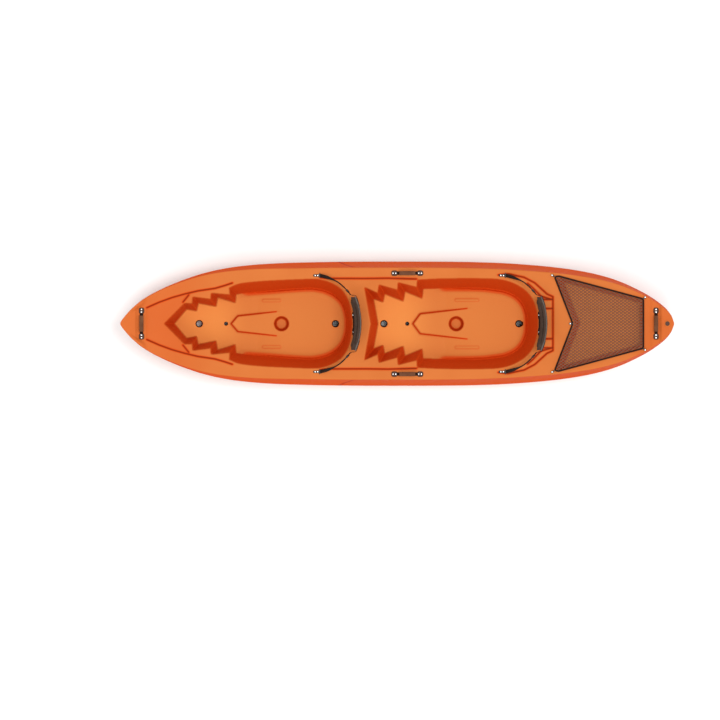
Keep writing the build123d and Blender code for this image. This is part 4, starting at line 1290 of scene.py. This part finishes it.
# ---------------------------------------------------------------------------
# Carry handles
# ---------------------------------------------------------------------------
HANDLES = {
    "bow_handle": ((-1658.8, 0, 381.0), (0, 1, 0), 35.5),
    "stern_handle": ((1679.0, 0, 322.0), (0, 1, 0), 33.0),
    "starboard_handle": ((64.9, 327.5, 308.3), (1, 0, 0), 40.0),
    "port_handle": ((64.9, -327.5, 308.3), (1, 0, 0), 40.0),
}
for name, (origin, along, high) in HANDLES.items():
    o, u = np.array(origin), np.array(along, float)
    v = np.cross([0, 0, 1.0], u)

    def put(a, b, h):
        a, b, h = np.broadcast_arrays(np.asarray(a, float), b, h)
        return (o + a[..., None] * u + b[..., None] * v + h[..., None] * np.array([0, 0, 1.0])) / 1000

    bar = high - 6.0
    half = [(99, 1.6), (80, 1.6), (70, 1.6), (64.0, 2.2), (61.0, 6.5), (58.0, bar * 0.52), (55.0, bar * 0.84), (50.0, bar - 0.6), (40, bar), (0, bar)]
    arch = through([(-a, h) for a, h in half] + [(a, h) for a, h in reversed(half[:-1])], 6)
    line = put(arch[:, 0], 0 * arch[:, 0], arch[:, 1])
    line, _ = resample(line, 0.0025)
    strap = outward(ribbon(f"{name}_webbing", line, np.tile(v, (len(line), 1)), 0.0215, 0.0026, 8))
    finish_mesh(strap, M_WEB, "hull")
    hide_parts(f"{name}_strap")

    # moulded grip: oval, ribbed for the fingers, slightly swollen in the middle
    us = np.concatenate([[-52, -51.6, -50.8, -49.4], np.linspace(-47.5, 47.5, 77), [49.4, 50.8, 51.6, 52]])
    rows = []
    for a in us:
        edge = min(1.0, math.sqrt(max(0.0, 1 - (max(0.0, abs(a) - 47.5) / 4.6) ** 2)))
        ribs = 1 - 0.035 * (0.5 + 0.5 * math.cos(a * 2 * math.pi / 11.9)) * (1 if abs(a) < 45 else 0)
        w = (13.4 + 0.5 * math.cos(a / 52 * math.pi / 2)) * (0.80 + 0.20 * edge) * ribs
        t = 5.9 * (0.72 + 0.28 * edge) * ribs
        ring = []
        for k in range(28):
            q = 2 * math.pi * k / 28
            c, s = math.cos(q), math.sin(q)
            ring.append((w * math.copysign(abs(c) ** 0.62, c), t * math.copysign(abs(s) ** 0.70, s)))
        rows.append([put(a, b, high - 6.0 + h) for b, h in ring])
    rows = np.array(rows)
    n, m = rows.shape[:2]
    faces = [(i * m + j, i * m + (j + 1) % m, (i + 1) * m + (j + 1) % m, (i + 1) * m + j) for i in range(n - 1) for j in range(m)]
    faces += [tuple(reversed(range(m))), tuple(range((n - 1) * m, n * m))]
    grip = outward(new_object(f"{name}_moulded_grip", rows.reshape(-1, 3), faces))
    finish_mesh(grip, M_GRIP, "hull")
    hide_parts(f"{name}_grip")

    # raised collar round each end cap, lifted over the strap
    bits = []
    for s in (-1, 1):
        cu, hu, hv, r = s * 83.75, 17.25 + 1.3, 15.0 + 1.3, 11.0
        loop = []
        for cx_, cy_, a0 in ((hu - r, hv - r, 0), (-(hu - r), hv - r, 90), (-(hu - r), -(hv - r), 180), (hu - r, -(hv - r), 270)):
            for q in np.radians(np.linspace(a0, a0 + 90, 12)):
                loop.append((cx_ + r * math.cos(q), cy_ + r * math.sin(q)))
        loop = np.array(loop)
        closed, _ = resample(np.column_stack([np.vstack([loop, loop[:1]]), np.zeros(len(loop) + 1)]), 1.6)
        a, b = closed[:-1, 0], closed[:-1, 1]
        over = smoothstep(hu - 3.0, hu - 1.0, -s * a) * (1 - smoothstep(11.2, 14.0, np.abs(b)))
        bits.append(tube(put(cu + a, b, 1.3 + 3.0 * over), 0.0014, 8, closed=True))
    collar = outward(joined(f"{name}_collars", bits))
    finish_mesh(collar, M_GREY, "hull")

# ---------------------------------------------------------------------------
# Stern cover: woven net, elastic edge cord
# ---------------------------------------------------------------------------
SLOPE = (316.3 - 308.3) / 640
_k = math.hypot(1, SLOPE)
TX, TZ = np.array([1, 0, SLOPE]) / _k, np.array([-SLOPE, 0, 1]) / _k
BORDER = [(22, 303), (46, 309), (597, 160), (597, -160), (46, -309), (22, -303), (139, 0)]


def tank_point(a, b, h):
    a, b, h = np.broadcast_arrays(np.asarray(a, float), b, h)
    return (np.array([1000, 0, DECK]) + a[..., None] * TX + b[..., None] * np.array([0, 1.0, 0]) + h[..., None] * TZ) / 1000


def woven_net():
    poly = np.array(BORDER, float)
    pitch = 15.6
    verts, faces, base = [], [], 0
    quad = [(-2.28, -0.60), (2.28, -0.60), (2.28, 0.60), (-2.28, 0.60)]
    diag = math.sqrt(0.5)
    # diamonds a little longer along the boat
    fams = []
    for sgn in (1, -1):
        d = np.array([math.cos(math.radians(37)), sgn * math.sin(math.radians(37))])
        fams.append((d, np.array([-d[1], d[0]])))
    origin = np.array([310.0, 0.0])
    for f, (d, nrm) in enumerate(fams):
        od, onrm = fams[1 - f]
        for k in range(-70, 71):
            p0 = origin + nrm * k * pitch
            hits = []
            for a, b in zip(poly, np.roll(poly, -1, 0)):
                e = b - a
                den = d[0] * e[1] - d[1] * e[0]
                if abs(den) < 1e-9:
                    continue
                t = ((a[0] - p0[0]) * e[1] - (a[1] - p0[1]) * e[0]) / den
                s = ((a[0] - p0[0]) * d[1] - (a[1] - p0[1]) * d[0]) / den
                if 0 <= s < 1:
                    hits.append(t)
            hits.sort()
            for t0, t1 in zip(hits[::2], hits[1::2]):
                if t1 - t0 < 5:
                    continue
                # crossings with the other family, where this strand goes over or under
                c0 = np.dot(p0 - origin, onrm)
                rate = np.dot(d, onrm)
                lo, hi = sorted(((c0 + rate * t0) / pitch, (c0 + rate * t1) / pitch))
                js = np.arange(math.ceil(lo), math.floor(hi) + 1)
                ts = (js * pitch - c0) / rate
                hs = np.where((js + k + f) % 2 == 0, 0.68, -0.68)
                order = np.argsort(ts)
                ts, hs = ts[order], hs[order]
                ts = np.concatenate([[t0], ts, [t1]])
                hs = np.concatenate([[0], hs, [0]])
                keep = np.concatenate([[True], np.diff(ts) > 0.5])
                ts, hs = ts[keep], hs[keep]
                pts = p0 + ts[:, None] * d
                # the net hangs a little between its edges
                edge = np.full(len(pts), 1e9)
                for a, b in zip(poly, np.roll(poly, -1, 0)):
                    e = b - a
                    q = np.clip(((pts - a) @ e) / (e @ e), 0, 1)
                    edge = np.minimum(edge, np.linalg.norm(pts - a - q[:, None] * e, axis=1))
                droop = -1.6 * smoothstep(0, 120, edge)
                for cx_, cz_ in quad:
                    pass
                rows = np.stack([tank_point(pts[:, 0] + nrm[0] * cx_, pts[:, 1] + nrm[1] * cx_, 4.0 + hs + droop + cz_)
                                 for cx_, cz_ in quad], 1)
                n = len(rows)
                verts.append(rows.reshape(-1, 3))
                for i in range(n - 1):
                    for j in range(4):
                        a, b = base + i * 4 + j, base + i * 4 + (j + 1) % 4
                        faces.append((a, b, b + 4, a + 4))
                faces.append((base + 3, base + 2, base + 1, base))
                e = base + (n - 1) * 4
                faces.append((e, e + 1, e + 2, e + 3))
                base += n * 4
    ob = new_object("stern_net_woven", np.vstack(verts), faces)
    return ob


net = woven_net()
finish_mesh(net, M_NET, "hull", smooth=False)
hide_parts("tank_net")


def rounded_loop(points, radius, steps=8):
    p = np.array(points, float)
    out = []
    n = len(p)
    for i in range(n):
        a, b, c = p[i - 1], p[i], p[(i + 1) % n]
        d0, d1 = unit(a - b), unit(c - b)
        r = min(radius, np.linalg.norm(a - b) * 0.45, np.linalg.norm(c - b) * 0.45)
        for t in np.linspace(0, 1, steps):
            out.append((1 - t) ** 2 * (b + d0 * r) + 2 * t * (1 - t) * b + t * t * (b + d1 * r))
    return np.array(out)


loop = rounded_loop(BORDER, 12.0)
loop, _ = resample(np.column_stack([np.vstack([loop, loop[:1]]), np.zeros(len(loop) + 1)]), 5.0)
edge_line = tank_point(loop[:-1, 0], loop[:-1, 1], 5.3 + 0.15 * np.sin(np.arange(len(loop) - 1) * 0.8))
cord = outward(joined("stern_net_elastic", [tube(edge_line, 0.0054, 14, closed=True)]))
finish_mesh(cord, M_CORD, "hull")
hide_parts("tank_net_cord")

# ---------------------------------------------------------------------------
# Better materials on the CAD pieces that stay
# ---------------------------------------------------------------------------
def foam():
    n = Nodes("closed_cell_foam")
    cells = n.noise(500.0, 2.0)
    colour = n.mix(n.span(cells, 0.3, 0.7, 0.0, 1.0), (0.62, 0.62, 0.60), (0.74, 0.74, 0.72))
    return n.done(colour, n.span(cells, 0.3, 0.7, 0.80, 0.95), n.bump(cells, 0.0004, 0.6))


M_FOAM = foam()
for name, ob in NODES.items():
    if ob.hide_render:
        continue
    if "screw" in name:
        m = M_STEEL
    elif "foam" in name:
        m = M_FOAM
    elif "cap" in name:
        m = M_GREY
    elif name == "drain_socket":
        m = M_HULL
    elif name == "drain_plug":
        m = M_DRAIN
    elif name == "drain_gasket":
        m = M_SEAL
    else:
        m = M_BLACK
    if not ob.material_slots:
        ob.data.materials.append(m)
    for sl in ob.material_slots:
        sl.material = m
